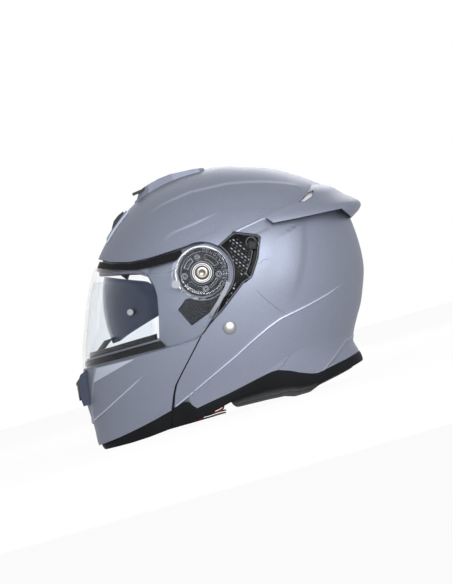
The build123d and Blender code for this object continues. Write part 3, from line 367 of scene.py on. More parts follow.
def facing_out(part):
    """The closed mesh with its faces turned outwards, by the sign of its volume."""
    points, faces = part
    a, b, c, d = (points[faces[:, corner]] for corner in range(4))
    volume = (a * (np.cross(b, c) + np.cross(c, d))).sum()
    return points, faces if volume > 0 else faces[:, ::-1]


def left_side(part):
    """Mirror image of a right side's mesh."""
    points, faces = facing_out(part)
    return points * (1, -1, 1), faces[:, ::-1]


def on_side(part, side):
    """A right side's mesh for the side that is named."""
    return left_side(part) if side == "left" else part


def both_sides(part):
    """The right side's mesh and its mirror image."""
    return joined(facing_out(part), left_side(part))


def placed(name, data):
    """Scene object that holds the data."""
    thing = bpy.data.objects.new(name, data)
    bpy.context.scene.collection.objects.link(thing)
    return thing


def piece(name, part, finish, body, sharp=38.0, stands_for=(), marks=()):
    """Mesh object from vertices in millimetres and four-cornered faces, riding on a body.

    Marks are pairs of an attribute's name and its value at each vertex, which the finish reads.
    """
    points, faces = facing_out(part)
    mesh = bpy.data.meshes.new(name)
    mesh.vertices.add(len(points))
    mesh.vertices.foreach_set("co", (points * MM).astype(np.float32).ravel())
    for label, values in marks:
        mark = mesh.attributes.new(label, "FLOAT", "POINT")
        mark.data.foreach_set("value", values.astype(np.float32).ravel())
    mesh.loops.add(faces.size)
    mesh.loops.foreach_set("vertex_index", faces.astype(np.int32).ravel())
    mesh.polygons.add(len(faces))
    mesh.polygons.foreach_set("loop_start", np.arange(0, faces.size, 4, dtype=np.int32))
    mesh.update(calc_edges=True)
    work = bmesh.new()
    work.from_mesh(mesh)
    bmesh.ops.remove_doubles(work, verts=work.verts, dist=2e-6)
    work.to_mesh(mesh)
    work.free()
    mesh.validate()
    mesh.polygons.foreach_set("use_smooth", np.ones(len(mesh.polygons), bool))
    mesh.set_sharp_from_angle(angle=radians(sharp))
    mesh.materials.append(FINISHES[finish])
    thing = placed(name, mesh)
    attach(thing, body)
    if stands_for:
        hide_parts(*stands_for)
    return thing


FINISHES = {}


# Finishes
def new_group(name, inputs, outputs):
    """Empty shader node group with named sockets."""
    group = bpy.data.node_groups.new(name, "ShaderNodeTree")
    for label, kind, value in inputs:
        socket = group.interface.new_socket(label, in_out="INPUT", socket_type=kind)
        socket.default_value = value
    for label, kind in outputs:
        group.interface.new_socket(label, in_out="OUTPUT", socket_type=kind)
    return group, group.nodes.new("NodeGroupInput"), group.nodes.new("NodeGroupOutput")


def node(tree, kind, links=(), **settings):
    """New node, with its properties and sockets set by name and its inputs linked."""
    made = tree.nodes.new(kind)
    for label, value in settings.items():
        setattr(made, label, value)
    for label, source in links:
        if hasattr(source, "links"):
            tree.links.new(source, made.inputs[label])
        else:
            made.inputs[label].default_value = source
    return made


def maths(tree, how, first, second):
    """Output of a math node over two values or links."""
    return node(tree, "ShaderNodeMath", ((0, first), (1, second)), operation=how).outputs[0]


def noise_at(tree, place, scale, detail):
    """Noise node over a place."""
    return node(tree, "ShaderNodeTexNoise", (("Vector", place), ("Scale", scale), ("Detail", detail)))


def mottle_group():
    """Slow colour and roughness changes from two octaves of noise."""
    group, given, result = new_group(
        "Mottle",
        (("Colour", "NodeSocketColor", (0.5, 0.5, 0.5, 1)),
         ("Dark Colour", "NodeSocketColor", (0.4, 0.4, 0.4, 1)),
         ("Roughness", "NodeSocketFloat", 0.5), ("Roughness Spread", "NodeSocketFloat", 0.1),
         ("Scale", "NodeSocketFloat", 40.0)),
        (("Colour", "NodeSocketColor"), ("Roughness", "NodeSocketFloat")),
    )
    place = node(group, "ShaderNodeTexCoord").outputs["Object"]
    noise = noise_at(group, place, given.outputs["Scale"], 6.0)
    mix = node(group, "ShaderNodeMix", (("Factor", noise.outputs["Fac"]),), data_type="RGBA")
    group.links.new(given.outputs["Colour"], mix.inputs[6])
    group.links.new(given.outputs["Dark Colour"], mix.inputs[7])
    group.links.new(mix.outputs[2], result.inputs["Colour"])
    spread = maths(group, "MULTIPLY", noise.outputs["Fac"], given.outputs["Roughness Spread"])
    total = maths(group, "ADD", spread, given.outputs["Roughness"])
    group.links.new(total, result.inputs["Roughness"])
    return group


def grain_group():
    """Fine moulded grain as a height: cells of a Voronoi pattern broken up by noise."""
    group, given, result = new_group(
        "Grain", (("Scale", "NodeSocketFloat", 900.0), ("Breakup", "NodeSocketFloat", 0.5)),
        (("Height", "NodeSocketFloat"),),
    )
    place = node(group, "ShaderNodeTexCoord").outputs["Object"]
    spots = node(group, "ShaderNodeTexVoronoi", (("Vector", place), ("Scale", given.outputs["Scale"])))
    noise = noise_at(group, place, given.outputs["Scale"], 3.0)
    mix = node(group, "ShaderNodeMix", (("Factor", given.outputs["Breakup"]),))
    group.links.new(spots.outputs["Distance"], mix.inputs[2])
    group.links.new(noise.outputs["Fac"], mix.inputs[3])
    group.links.new(mix.outputs[0], result.inputs["Height"])
    return group


def knit_group():
    """Knitted or woven cloth as a height: three crossed wave patterns."""
    group, given, result = new_group(
        "Knit", (("Scale", "NodeSocketFloat", 500.0),), (("Height", "NodeSocketFloat"),),
    )
    place = node(group, "ShaderNodeTexCoord").outputs["Object"]
    waves = [
        node(group, "ShaderNodeTexWave", (("Vector", place), ("Scale", given.outputs["Scale"]),
                                          ("Distortion", 1.2), ("Detail", 1.0)), bands_direction=axis)
        for axis in ("X", "Z", "Y")
    ]
    first, second, third = (wave.outputs["Fac"] for wave in waves)
    height = maths(group, "MULTIPLY", maths(group, "MAXIMUM", first, second), third)
    group.links.new(height, result.inputs["Height"])
    return group


def new_material(name, **levels):
    """New material, its node tree and its shader, whose inputs are given with _ for each space."""
    material = bpy.data.materials.new(name)
    material.use_nodes = True
    shader = material.node_tree.nodes["Principled BSDF"]
    for label, value in levels.items():
        shader.inputs[label.replace("_", " ")].default_value = value
    return material, material.node_tree, shader


def plain_finish(name, colour, dark, rough, spread, metal, coat_share, texture, scale, bump, sheen=0.0):
    """Opaque finish: mottled colour and roughness, with grain or knit as bump."""
    specular = DEEP_SPECULAR if name in DEEP else ROUGH_SPECULAR if rough > 0.45 else SMOOTH_SPECULAR
    FINISHES[name], tree, shader = new_material(
        name, Metallic=metal, Coat_Weight=coat_share, Coat_Roughness=0.22, Sheen_Weight=sheen,
        Specular_IOR_Level=specular)
    mottle = node(tree, "ShaderNodeGroup", node_tree=GROUPS["mottle"])
    for label, value in (("Colour", (*colour, 1)), ("Dark Colour", (*dark, 1)), ("Scale", 35.0),
                         ("Roughness", rough - spread / 2), ("Roughness Spread", spread)):
        mottle.inputs[label].default_value = value
    tree.links.new(mottle.outputs["Colour"], shader.inputs["Base Color"])
    tree.links.new(mottle.outputs["Roughness"], shader.inputs["Roughness"])
    detail = node(tree, "ShaderNodeGroup", node_tree=GROUPS[texture])
    detail.inputs["Scale"].default_value = scale
    raised = node(tree, "ShaderNodeBump", (("Height", detail.outputs["Height"]), ("Strength", bump),
                                           ("Distance", 0.0004)))
    tree.links.new(raised.outputs["Normal"], shader.inputs["Normal"])
    # Painted highlight: the colour turns lighter where the piece's shine mark is
    if name in LIT_EDGES:
        mark = node(tree, "ShaderNodeAttribute", attribute_name="shine")
        lighter = node(tree, "ShaderNodeMix", (("Factor", mark.outputs["Fac"]),), data_type="RGBA")
        tree.links.new(mottle.outputs["Colour"], lighter.inputs[6])
        lighter.inputs[7].default_value = (*LIT_EDGES[name], 1)
        tree.links.new(lighter.outputs[2], shader.inputs["Base Color"])


def crease_group():
    """Pressed edge: a rounded ridge on a crease's line and a groove right of it, as a height and a mask."""
    group, given, result = new_group(
        "Crease", (("Gap", "NodeSocketFloat", FAR_FROM_CREASE), ("Rise", "NodeSocketFloat", 0.0)),
        (("Height", "NodeSocketFloat"), ("Mask", "NodeSocketFloat")),
    )

    def ramp(value, low, high, start, end):
        return node(group, "ShaderNodeMapRange", (
            ("Value", value), ("From Min", low), ("From Max", high), ("To Min", start), ("To Max", end),
        ), interpolation_type="SMOOTHSTEP").outputs["Result"]

    gap, rise = given.outputs["Gap"], given.outputs["Rise"]
    off = node(group, "ShaderNodeMath", ((0, gap),), operation="ABSOLUTE").outputs[0]
    ridge = ramp(off, 0.0, 1.6, 1.0, 0.0)
    groove = maths(group, "MULTIPLY", ramp(gap, -2.6, -0.3, 1.0, 0.0), ramp(gap, -14.0, -4.0, 0.0, 0.8))
    height = maths(group, "MULTIPLY", maths(group, "SUBTRACT", ridge, groove), rise)
    mask = maths(group, "MULTIPLY", ramp(off, 0.2, 1.3, 1.0, 0.0), rise)
    group.links.new(height, result.inputs["Height"])
    group.links.new(mask, result.inputs["Mask"])
    return group


def clear_finish(name, colour, rough, haze):
    """Glass-like finish: full transmission, with a faint uneven roughness."""
    FINISHES[name], tree, shader = new_material(
        name, Base_Color=(*colour, 1), Transmission_Weight=1.0, IOR=1.2)
    place = node(tree, "ShaderNodeTexCoord").outputs["Object"]
    noise = noise_at(tree, place, 25.0, 4.0)
    level = node(tree, "ShaderNodeMapRange", (("Value", noise.outputs["Fac"]), ("To Min", rough),
                                              ("To Max", rough + haze)))
    tree.links.new(level.outputs["Result"], shader.inputs["Roughness"])


GROUPS = {}

# Specular level of the deep blacks, of other rough finishes and of smooth ones
DEEP_SPECULAR, ROUGH_SPECULAR, SMOOTH_SPECULAR = 0.04, 0.2, 0.3
DEEP = {"detent", "mechanism", "gloss_black", "seal", "front_cover", "trim"}

# Painted highlight: colour mixed in where a piece's shine mark is, on the edges and bumps that would catch the
# light
LIT_EDGES = {"detent": (0.4, 0.42, 0.46), "ring": (0.8, 0.8, 0.8), "gloss_black": (0.45, 0.47, 0.5)}

# Finish: colour, darker colour, roughness, its spread, metal, coat, texture, its scale, bump and any sheen
PLAIN = {
    "trim": ((0.012, 0.0125, 0.014), (0.007, 0.007, 0.008), 0.62, 0.15, 0.0, 0.0, "grain", 1400.0, 0.25),
    "foam": ((0.03, 0.03, 0.033), (0.018, 0.018, 0.02), 0.8, 0.1, 0.0, 0.0, "grain", 300.0, 0.5),
    "lining": ((0.045, 0.046, 0.05), (0.02, 0.02, 0.024), 0.92, 0.06, 0.0, 0.0, "knit", 700.0, 0.5, 0.35),
    "neck_cloth": ((0.04, 0.041, 0.045), (0.018, 0.018, 0.02), 0.95, 0.05, 0.0, 0.0, "knit", 420.0, 0.7, 0.3),
    "vent_black": ((0.018, 0.018, 0.02), (0.011, 0.011, 0.012), 0.5, 0.15, 0.0, 0.0, "grain", 1200.0, 0.2),
    "gloss_black": ((0.006, 0.0065, 0.008), (0.003, 0.003, 0.004), 0.3, 0.1, 0.0, 0.0, "grain", 420.0, 0.35),
    "seal": ((0.012, 0.012, 0.013), (0.008, 0.008, 0.009), 0.55, 0.12, 0.0, 0.0, "grain", 900.0, 0.15),
    "light_grille": ((0.62, 0.63, 0.64), (0.5, 0.5, 0.52), 0.45, 0.1, 0.0, 0.1, "grain", 900.0, 0.15),
    "dark_steel": ((0.08, 0.08, 0.085), (0.05, 0.05, 0.055), 0.35, 0.15, 1.0, 0.0, "grain", 1500.0, 0.1),
    "steel": ((0.5, 0.5, 0.51), (0.4, 0.4, 0.41), 0.3, 0.12, 1.0, 0.0, "grain", 1500.0, 0.08),
    "chrome": ((0.72, 0.72, 0.74), (0.66, 0.66, 0.68), 0.16, 0.06, 1.0, 0.0, "grain", 1200.0, 0.03),
    "webbing": ((0.016, 0.016, 0.018), (0.008, 0.008, 0.01), 0.85, 0.1, 0.0, 0.0, "knit", 900.0, 0.6, 0.2),
    "red_webbing": ((0.42, 0.012, 0.012), (0.28, 0.006, 0.008), 0.8, 0.1, 0.0, 0.0, "knit", 900.0, 0.5, 0.2),
    "red_plastic": ((0.36, 0.012, 0.012), (0.25, 0.008, 0.008), 0.4, 0.1, 0.0, 0.1, "grain", 1200.0, 0.1),
    "mechanism": ((0.03, 0.032, 0.037), (0.016, 0.017, 0.02), 0.35, 0.15, 0.0, 0.0, "grain", 800.0, 0.2),
    "ring": ((0.1, 0.095, 0.09), (0.07, 0.066, 0.062), 0.3, 0.1, 0.3, 0.0, "grain", 1300.0, 0.05),
    "detent": ((0.03, 0.032, 0.037), (0.016, 0.017, 0.02), 0.35, 0.15, 0.0, 0.0, "grain", 800.0, 0.2),
    # frosted: light grey of the ribbed strip behind the visor's edge, a painted highlight
    "frosted": ((0.2, 0.215, 0.25), (0.13, 0.14, 0.165), 0.35, 0.1, 0.0, 0.2, "grain", 700.0, 0.1),
    # lip: grey of the painted highlight band under the visor's upper edge
    "lip": ((0.13, 0.14, 0.18), (0.09, 0.1, 0.13), 0.6, 0.1, 0.0, 0.0, "grain", 900.0, 0.1),
    "stud": ((0.36, 0.37, 0.4), (0.28, 0.29, 0.32), 0.3, 0.1, 0.3, 0.0, "grain", 1300.0, 0.05),
    "front_cover": ((0.045, 0.052, 0.078), (0.035, 0.04, 0.062), 0.45, 0.1, 0.0, 0.0, "grain", 1200.0, 0.05),
    "screw": ((0.2, 0.18, 0.165), (0.12, 0.11, 0.1), 0.32, 0.12, 1.0, 0.0, "grain", 1500.0, 0.1),
    "rivet": ((0.34, 0.34, 0.35), (0.28, 0.28, 0.29), 0.36, 0.08, 1.0, 0.0, "grain", 1300.0, 0.05),
    "bright_ring": ((0.62, 0.63, 0.65), (0.5, 0.51, 0.53), 0.28, 0.1, 0.9, 0.2, "grain", 1300.0, 0.08),
}

# Clear finish: colour, roughness and how much more of it the haze adds
CLEAR = {
    "smoke": ((0.16, 0.19, 0.26), 0.03, 0.03),
    "clear": ((0.97, 0.98, 0.99), 0.0, 0.015),
    "clear_film": ((0.93, 0.95, 0.97), 0.01, 0.02),
}


def paint_finish(name, colour):
    """Satin metallic paint: flakes tilt the normal and lighten the colour under a soft coat."""
    FINISHES[name], tree, shader = new_material(
        name, Metallic=0.6, Specular_IOR_Level=0.15, Coat_Weight=0.04, Coat_Roughness=0.35)
    place = node(tree, "ShaderNodeTexCoord").outputs["Object"]
    flakes = node(tree, "ShaderNodeTexVoronoi", (("Vector", place), ("Scale", 2600.0)))
    light = node(tree, "ShaderNodeMapRange", (("Value", flakes.outputs["Color"]), ("To Min", 0.86),
                                              ("To Max", 1.12)))
    shade = node(tree, "ShaderNodeMix", (("Factor", 1.0),), data_type="RGBA", blend_type="MULTIPLY")
    shade.inputs[6].default_value = (*colour, 1)
    tree.links.new(light.outputs["Result"], shade.inputs[7])
    mottle = node(tree, "ShaderNodeGroup", node_tree=GROUPS["mottle"])
    for label, value in (("Roughness", 0.5), ("Roughness Spread", 0.06), ("Scale", 60.0)):
        mottle.inputs[label].default_value = value
    tree.links.new(mottle.outputs["Roughness"], shader.inputs["Roughness"])
    edge = node(tree, "ShaderNodeGroup", node_tree=GROUPS["crease"])
    for label, attribute in (("Gap", "crease_gap"), ("Rise", "crease_rise")):
        mark = node(tree, "ShaderNodeAttribute", attribute_name=attribute)
        tree.links.new(mark.outputs["Fac"], edge.inputs[label])
    # Painted highlight: the colour turns lighter on the creases' ridges, by the crease group's mask
    crease_highlight = node(tree, "ShaderNodeMix", (("Factor", edge.outputs["Mask"]),), data_type="RGBA")
    tree.links.new(shade.outputs[2], crease_highlight.inputs[6])
    crease_highlight.inputs[7].default_value = (*(min(1.0, 2.6 * channel + 0.1) for channel in colour), 1)
    tree.links.new(crease_highlight.outputs[2], shader.inputs["Base Color"])
    pressed = node(tree, "ShaderNodeBump", (("Height", edge.outputs["Height"]), ("Strength", 1.0),
                                            ("Distance", MM)))
    raised = node(tree, "ShaderNodeBump", (("Height", flakes.outputs["Distance"]), ("Strength", 0.06),
                                           ("Distance", 0.0002), ("Normal", pressed.outputs["Normal"])))
    tree.links.new(raised.outputs["Normal"], shader.inputs["Normal"])


# Painted pieces
SHELL_EDGE = np.array([
    (-77.0, 22.9), (-71.9, 37.4), (-67.2, 46.4), (-59.1, 55.6), (-39.3, 76.8), (-28.3, 88.4),
    (-24.6, 90.6), (-14.6, 98.4), (0.3, 107.3), (28.3, 128.3), (37.3, 131.1), (40.5, 134.6),
    (50.4, 149.9), (58.7, 170), (55.5, 174.6), (33, 183.7), (12.9, 173.7), (5.7, 179.3), (-2.2, 182.6),
    (-10.6, 183.7), (-18, 183.0), (-40, 181.8), (-60, 181.3), (-80.3, 182.9), (-100.4, 188.5),
    (-106, 192.2),
])
SHELL_MIDDLE = np.array([
    (126.5, 27), (126, 33), (126, 38), (128, 50), (137, 68), (144, 80), (146, 84), (150, 93), (153, 103),
    (157, 122), (157, 130), (157, 136), (157.5, 152), (155, 170), (151, 182), (118, 220), (90, 238),
    (75, 245), (58, 250.5), (42, 254), (22, 256.3), (-15, 256), (-45, 247), (-75, 230), (-98, 209),
    (-112.4, 195.5),
])

# Share of the way round the shell's edge at some rows of its grid, which lie closer in the first half
SHELL_ROWS = ((0.0, 0), (0.5, 110), (1.0, 210))

# Crease: its side-view line, the drop right of it and the run of the drop, how far off the surface is back, how
# strongly the edge is drawn as a bump and a painted highlight, the bead's height, and the shares of the line
# over which each end fades
SHELL_CREASES = (
    dict(line=((-76, 24), (-50, 35.5), (-30, 44.5), (0, 58), (20, 68), (40, 77), (55, 82.5), (75, 86), (90, 89),
               (110, 94), (130, 101)), drop=2.6, run=4.0, reach=46, edge=0.62, bead=0.35, fade=(0.0, 0.12)),
    dict(line=((103, 182), (110, 175), (105, 150), (97, 130), (85, 108), (75, 96), (65, 89)),
         drop=-1.3, run=9, reach=36, edge=0.0, fade=(0.08, 0.4)),
    dict(line=((-58, 223), (-30, 232), (0, 236), (40, 234), (60, 230), (80, 224.5), (100, 217), (118, 208)),
         drop=1.6, run=5, reach=34, edge=0.2, bead=0.2, fade=(0.25, 0.1)),
    dict(line=((-46, 192), (-30, 200), (0, 204), (30, 209)),
         drop=1.0, run=5, reach=22, edge=0.12, fade=(0.35, 0.35)),
    dict(line=((26, 181), (45, 184.5), (70, 188.5)),
         drop=1.4, run=3, reach=14, edge=0.3, bead=0.2, fade=(0.3, 0.1)),
    dict(line=((80, 16), (100, 30), (115, 42), (127, 44)),
         drop=1.5, run=4, reach=16, edge=0.2, bead=0.2, fade=(0.1, 0.0)),
)
PAINT_PROUD = 0.3
PAINT_WALL = 1.4


def paint_over(name, places, creases, body):
    """Creased paint over both sides of the body, pushed along its normals by the folds' relief."""
    grid = across_middle(lift(places))
    relief = mirrored(relief_of(places, creases))
    gap, rise = (doubled(mirrored(mark)) for mark in crease_marks(places, creases))
    piece(name, coat(grid, relief + PAINT_PROUD, np.minimum(relief, 0) - PAINT_WALL), "paint", body, sharp=50,
          marks=(("crease_gap", gap), ("crease_rise", rise)))


def painted_shell():
    """Creased paint over the shell: between its front edge and the helmet's middle line, pushed along its
    normals by the folds' relief."""
    row_shares, rows = zip(*SHELL_ROWS)
    steps = np.interp(np.arange(rows[-1] + 1), rows, row_shares)
    s = crowded(100)
    line = silhouette(0.0)
    edge_run = run_length(SHELL_EDGE)
    middle_run = run_length(SHELL_MIDDLE)
    stops = (edge_run / edge_run[-1] + middle_run / middle_run[-1]) / 2
    edge = np.stack([np.interp(steps, stops, column) for column in SHELL_EDGE.T], -1)
    middle = along(line, np.interp(steps, stops, share_on(line, SHELL_MIDDLE)))
    foot_x = edge[0, 0] + (middle[0, 0] - edge[0, 0]) * s
    foot_z = np.interp(foot_x, *TRIM_TOP.T)
    foot_z += (edge[0, 1] - foot_z[0]) * (1 - s) + (middle[0, 1] - foot_z[-1]) * s
    foot = np.stack([foot_x, foot_z], -1)
    places = ruled_across(edge, middle, s)
    straight = places[0].copy()
    weight = np.clip(1 - steps / 0.12, 0, 1) ** 2
    places = places + weight[:, None, None] * (foot - straight)[None]
    paint_over("shell_paint", places, SHELL_CREASES, "shell")


CHIN_TOP = np.array([
    (-163, 88.0), (-158, 88.0), (-145, 86.2), (-105, 84.7), (-66, 84.7), (-45, 84.7), (-36, 85.2),
    (-31.5, 86.2),
])
CHIN_CREASES = (
    dict(line=((-168, 30), (-161, 34), (-150, 39), (-130, 49), (-110, 59), (-95, 67)), drop=2.2, run=3.2,
         reach=34, edge=0.55, bead=0.3, fade=(0.0, 0.3)),
    dict(line=((-141, 88), (-146, 86), (-153, 70), (-159.5, 55), (-162.5, 40), (-163, 30)), drop=1.4, run=2.5,
         reach=30, edge=0.3, bead=0.15, fade=(0.05, 0.15)),
)
TRIANGLE_FOOT = np.array([(-151.6, 71.5), (-104, 83.6)])
TRIANGLE_HEAD = np.array([(-144.6, 85.2), (-104.4, 84.2)])

# How far the painted shadow strip at the gap reaches in front of the line and behind it
GAP_SHADOW = (-1.6, 0.15)
FILM_SUNK = 0.25


def chin_paint():
    """Creased paint over the chin bar, between its edging, the visor's lower edge and the line to the shell."""
    across, up = crowded(100), np.linspace(0, 1, 70)
    gap = along(GAP_LINE[2:], up) - (0.1, 0)
    front = middle_line((-165, 4.5), (-160, 88), up)
    foot_x = gap[0, 0] + (front[0, 0] - gap[0, 0]) * across
    foot = np.stack([foot_x, np.interp(foot_x, *TRIM_TOP.T)], -1)
    head_x = gap[-1, 0] + (front[-1, 0] - gap[-1, 0]) * across
    head = np.stack([head_x, np.interp(head_x, *CHIN_TOP.T)], -1)
    places = patch(foot, head, gap, front, across, up)
    paint_over("chin_paint", places, CHIN_CREASES, "chin_bar")


def film(name, places, top, finish):
    """Film on the paint of both sides of the chin bar, let into it by FILM_SUNK."""
    level = relief_of(places, CHIN_CREASES) + PAINT_PROUD
    piece(name, both_sides(coat(lift(places), level + top, level - FILM_SUNK)), finish, "chin_bar", sharp=50)


def chin_triangle():
    """Bare lighter patch on each side of the chin bar."""
    across, up = np.linspace(0, 1, 50), np.linspace(0, 1, 24)
    places = ruled(along(TRIANGLE_FOOT, across), along(TRIANGLE_HEAD, across), up)
    film("chin_triangles", places, 0.22, "light_paint")


def gap_beads():
    """Black rubber bead along the chin bar's rear edge, where it meets the shell."""
    # Painted shadow: a strip in the black of the trim, laid on the paint along the gap
    across, up = np.linspace(*GAP_SHADOW, 8), np.linspace(0, 1, 90)
    places = along(GAP_LINE[2:], up)[:, None] + np.stack([across, 0 * across], -1)[None]
    film("gap_beads", places, 0.16, "trim")


# First guess of where the edging meets the gap
GAP_START = -78.0
EDGING_DEPTH = 4.6
SETTLING_STEPS = 6


def trim_level(x, share):
    """Height of the edging's band at x, by the share of its way from the lower line to the upper one."""
    return np.interp(x, *TRIM_LOW.T) * (1 - share) + np.interp(x, *TRIM_TOP.T) * share


def edging(name, ends, body, node_name):
    """Rubber edging, rounded over its width, from beside the gap to the middle of the front or rear.

    The ends are the distance from the gap's line and a first guess of where the middle line is met. Each row
    of the band looks for its own ends, a few steps from the last guess.
    """
    side, end = ends
    up, across = np.linspace(0, 1, 15), crowded(90)
    reach = profiles(0.0)[0 if end < 0 else 1]
    places = np.zeros((len(up), len(across), 2))
    for row, share in enumerate(up):
        start, middle = GAP_START, end
        for _ in range(SETTLING_STEPS):
            start = np.interp(trim_level(start, share), GAP_LINE[:, 1], GAP_LINE[:, 0]) + side
            middle = np.sign(end) * np.interp(trim_level(middle, share), *reach)
        x = start + (middle - start) * across
        places[row] = np.stack([x, trim_level(x, share)], -1)
    grid = across_middle(lift(places))
    part = coat(grid, 0.45 + 0.75 * hump(up)[:, None], -EDGING_DEPTH)
    piece(name, part, "trim", body, stands_for=(node_name,))


def edgings():
    """Edging of the shell and of the chin bar."""
    edging("shell_edging", (0.9, 127.0), "shell", "shell_edge_trim")
    edging("chin_edging", (-0.2, -165.0), "chin_bar", "chin_bar_trim")


# Visor
VISOR_FOOT = np.array([
    (-160.2, 88.4), (-158, 88.4), (-145, 86.7), (-105, 85.2), (-66, 85.2), (-40, 85.2), (-32.8, 87.1),
    (-25, 92), (-12, 104.1), (14, 138), (17.4, 147.2),
])
VISOR_HEAD = np.array([
    (-118.6, 187.4), (-117.5, 187), (-108, 183.2), (-80, 173), (-61.9, 164.5), (-45.1, 160.9),
    (-36.2, 162.4), (-31, 170.6), (-14, 179.2), (14, 165.2), (17.4, 155),
])


# Radii between which the visor comes up from the flat disc round its pivot
EAR_EDGE = (23.4, 27.0)


def visor_grid(depth):
    """Outer face of the visor: its side outline laid on the body, sunk to a flat disc round the pivot."""
    run = run_length(VISOR_FOOT)
    share = np.linspace(0, 1, 150) ** 1.8
    foot, head = (
        np.stack([np.interp(share * run[-1], run, column) for column in line.T], -1)
        for line in (VISOR_FOOT, VISOR_HEAD)
    )
    up = np.linspace(0, 1, 90)
    front = middle_line(foot[0], head[0], up, depth)
    rear = foot[-1] + (head[-1] - foot[-1]) * up[:, None]
    straight = foot[0] + (head[0] - foot[0]) * up[:, None]
    places = ruled(foot, head, up)
    places += ((1 - share) ** 6)[None, :, None] * (front - straight)[:, None]
    places[:, -1] = rear
    grid = lift(places, depth)
    from_pivot = np.linalg.norm(places - PIVOT, axis=-1)
    sunk = 1 - smooth(from_pivot, *EAR_EDGE)
    grid[..., 1] = grid[..., 1] * (1 - sunk) + (EAR_TOP + 0.05) * sunk
    return grid[:, ::-1]


SCREEN_WALL = 1.8


def clear_visor():
    """Clear visor with the solid's outer face and a little thinner wall, to pass the arms when raised."""
    part = coat(across_middle(visor_grid(-VISOR_PROUD)), 0, -SCREEN_WALL)
    piece("visor_screen", part, "clear", "visor", sharp=60, stands_for=("visor_lens",))


EYEPORT_HIGHLIGHT_TOP = np.array([(-116, 184), (-111.8, 182.9), (-90, 178), (-73.9, 174.4), (-65, 168.5)])
EYEPORT_HIGHLIGHT_LOW = np.array([(-116, 178), (-108, 176.4), (-90, 172.4), (-76, 168.8), (-67, 163.0)])


def eyeport_highlight():
    """Soft grey lip along the upper edge of the eye opening."""
    across, up = np.linspace(0, 1, 70), np.linspace(0, 1, 14)
    grid = lift(ruled(along(EYEPORT_HIGHLIGHT_LOW, across), along(EYEPORT_HIGHLIGHT_TOP, across), up), EYEPORT_HIGHLIGHT_DEPTH)
    piece("eyeport_highlights", both_sides(coat(grid, 0.5 * hump(up)[:, None], -1.2)), "lip", "shell")


STRIP_REAR = np.array([(-12.4, 105.6), (0.8, 116.8), (10.4, 126.6), (15.0, 133.6)])
STRIP_FRONT = np.array([(-14.8, 108.6), (-2.2, 119.8), (7.4, 129.6), (11.6, 136.0)])
STRIP_RIBS = 22


def visor_details():
    """Light ribbed strip behind the visor's lower edge, and the bright rim of the disc round each pivot."""
    across, up = np.linspace(0, 1, 90), np.linspace(0, 1, 12)
    grid = lift(ruled(along(STRIP_REAR, across), along(STRIP_FRONT, across), up), -VISOR_PROUD)
    # Painted highlight: the strip's light grey stands in for the light on the visor's rear edge; its ribs are
    # relief
    ribs = 0.22 + 0.2 * smooth(np.cos(across * 2 * pi * STRIP_RIBS), -0.3, 0.5)
    piece("visor_strips", both_sides(coat(grid, ribs, -0.12)), "frosted", "visor", sharp=40)
    # Painted highlight: a light grey rim along the visor's rear edge round the pivot
    rim = [(26.7, EAR_TOP - 0.1), (26.8, EAR_TOP + 0.4), (27.4, EAR_TOP + 0.6), (28.0, EAR_TOP + 0.4),
           (28.3, EAR_TOP - 0.1), (28.2, EAR_TOP - 1.2), (26.9, EAR_TOP - 1.2)]
    piece("ear_rims", both_sides(turned(rim, PIVOT, 120, closed=True)), "light_grille", "visor")


# Side panels and pivots
PANEL_OUTER = np.array([
    (-29.4, 88.8), (-25, 91.2), (-15, 99.2), (0, 108.2), (28, 129.2), (36.9, 131.9), (40, 135.2), (49.8, 150.2),
    (57.9, 170), (55, 173.7), (32.8, 182.7), (12.7, 173.5),
])
PANEL_TURN = np.radians(np.arange(-68, 45, 7))
PANEL_ARC = PIVOT + 32.5 * np.stack([np.cos(PANEL_TURN), np.sin(PANEL_TURN)], -1)
PANEL_INNER = np.concatenate([[(-29.2, 88.9), (-24.2, 91.9), (-11.2, 103.9)], PANEL_ARC, [(12.7, 173.5)]])

# Fields of dimples, how strongly their painted highlight glints, the pitch of their honeycomb, and the slider's
# channel with its rim
PANEL_FIELD = (
    ((-4, 104), (4, 112), (30, 129), (20, 133), (12, 124)),
    ((22, 134), (34, 137), (42, 153), (36, 176), (27, 177), (17, 166), (23, 150)),
)
FIELD_GLINT = (1.0, 0.55)
FIELD_PITCH = 4.7
CHANNEL_RIM = 4.9
CHANNEL = ((47, 168), (51, 158), (45, 146), (38.5, 137.5))


def inside(places, corners):
    """Distance from the nearest edge of a convex outline given clockwise or not, positive inside."""
    corners = np.asarray(corners, float)
    ahead = np.roll(corners, -1, axis=0)
    turn = np.sign((corners[:, 0] * ahead[:, 1] - ahead[:, 0] * corners[:, 1]).sum())
    gaps = []
    for start, end in zip(corners, ahead):
        step = (end - start) / np.linalg.norm(end - start)
        rest = places - start
        gaps.append(turn * (step[0] * rest[..., 1] - step[1] * rest[..., 0]))
    return np.min(gaps, axis=0)


def honeycomb(places, pitch):
    """Distance to the nearest point of a lattice of equal triangles, as a share of half its pitch."""
    x, z = places[..., 0] / pitch, places[..., 1] / pitch
    row_height = 3**0.5 / 2
    best = np.full(x.shape, np.inf)
    base = np.floor(z / row_height)
    for step in (0, 1):
        row = base + step
        shift = np.mod(row, 2) / 2
        column = np.round(x - shift)
        best = np.minimum(best, np.hypot(x - shift - column, z - row * row_height))
    return best * 2


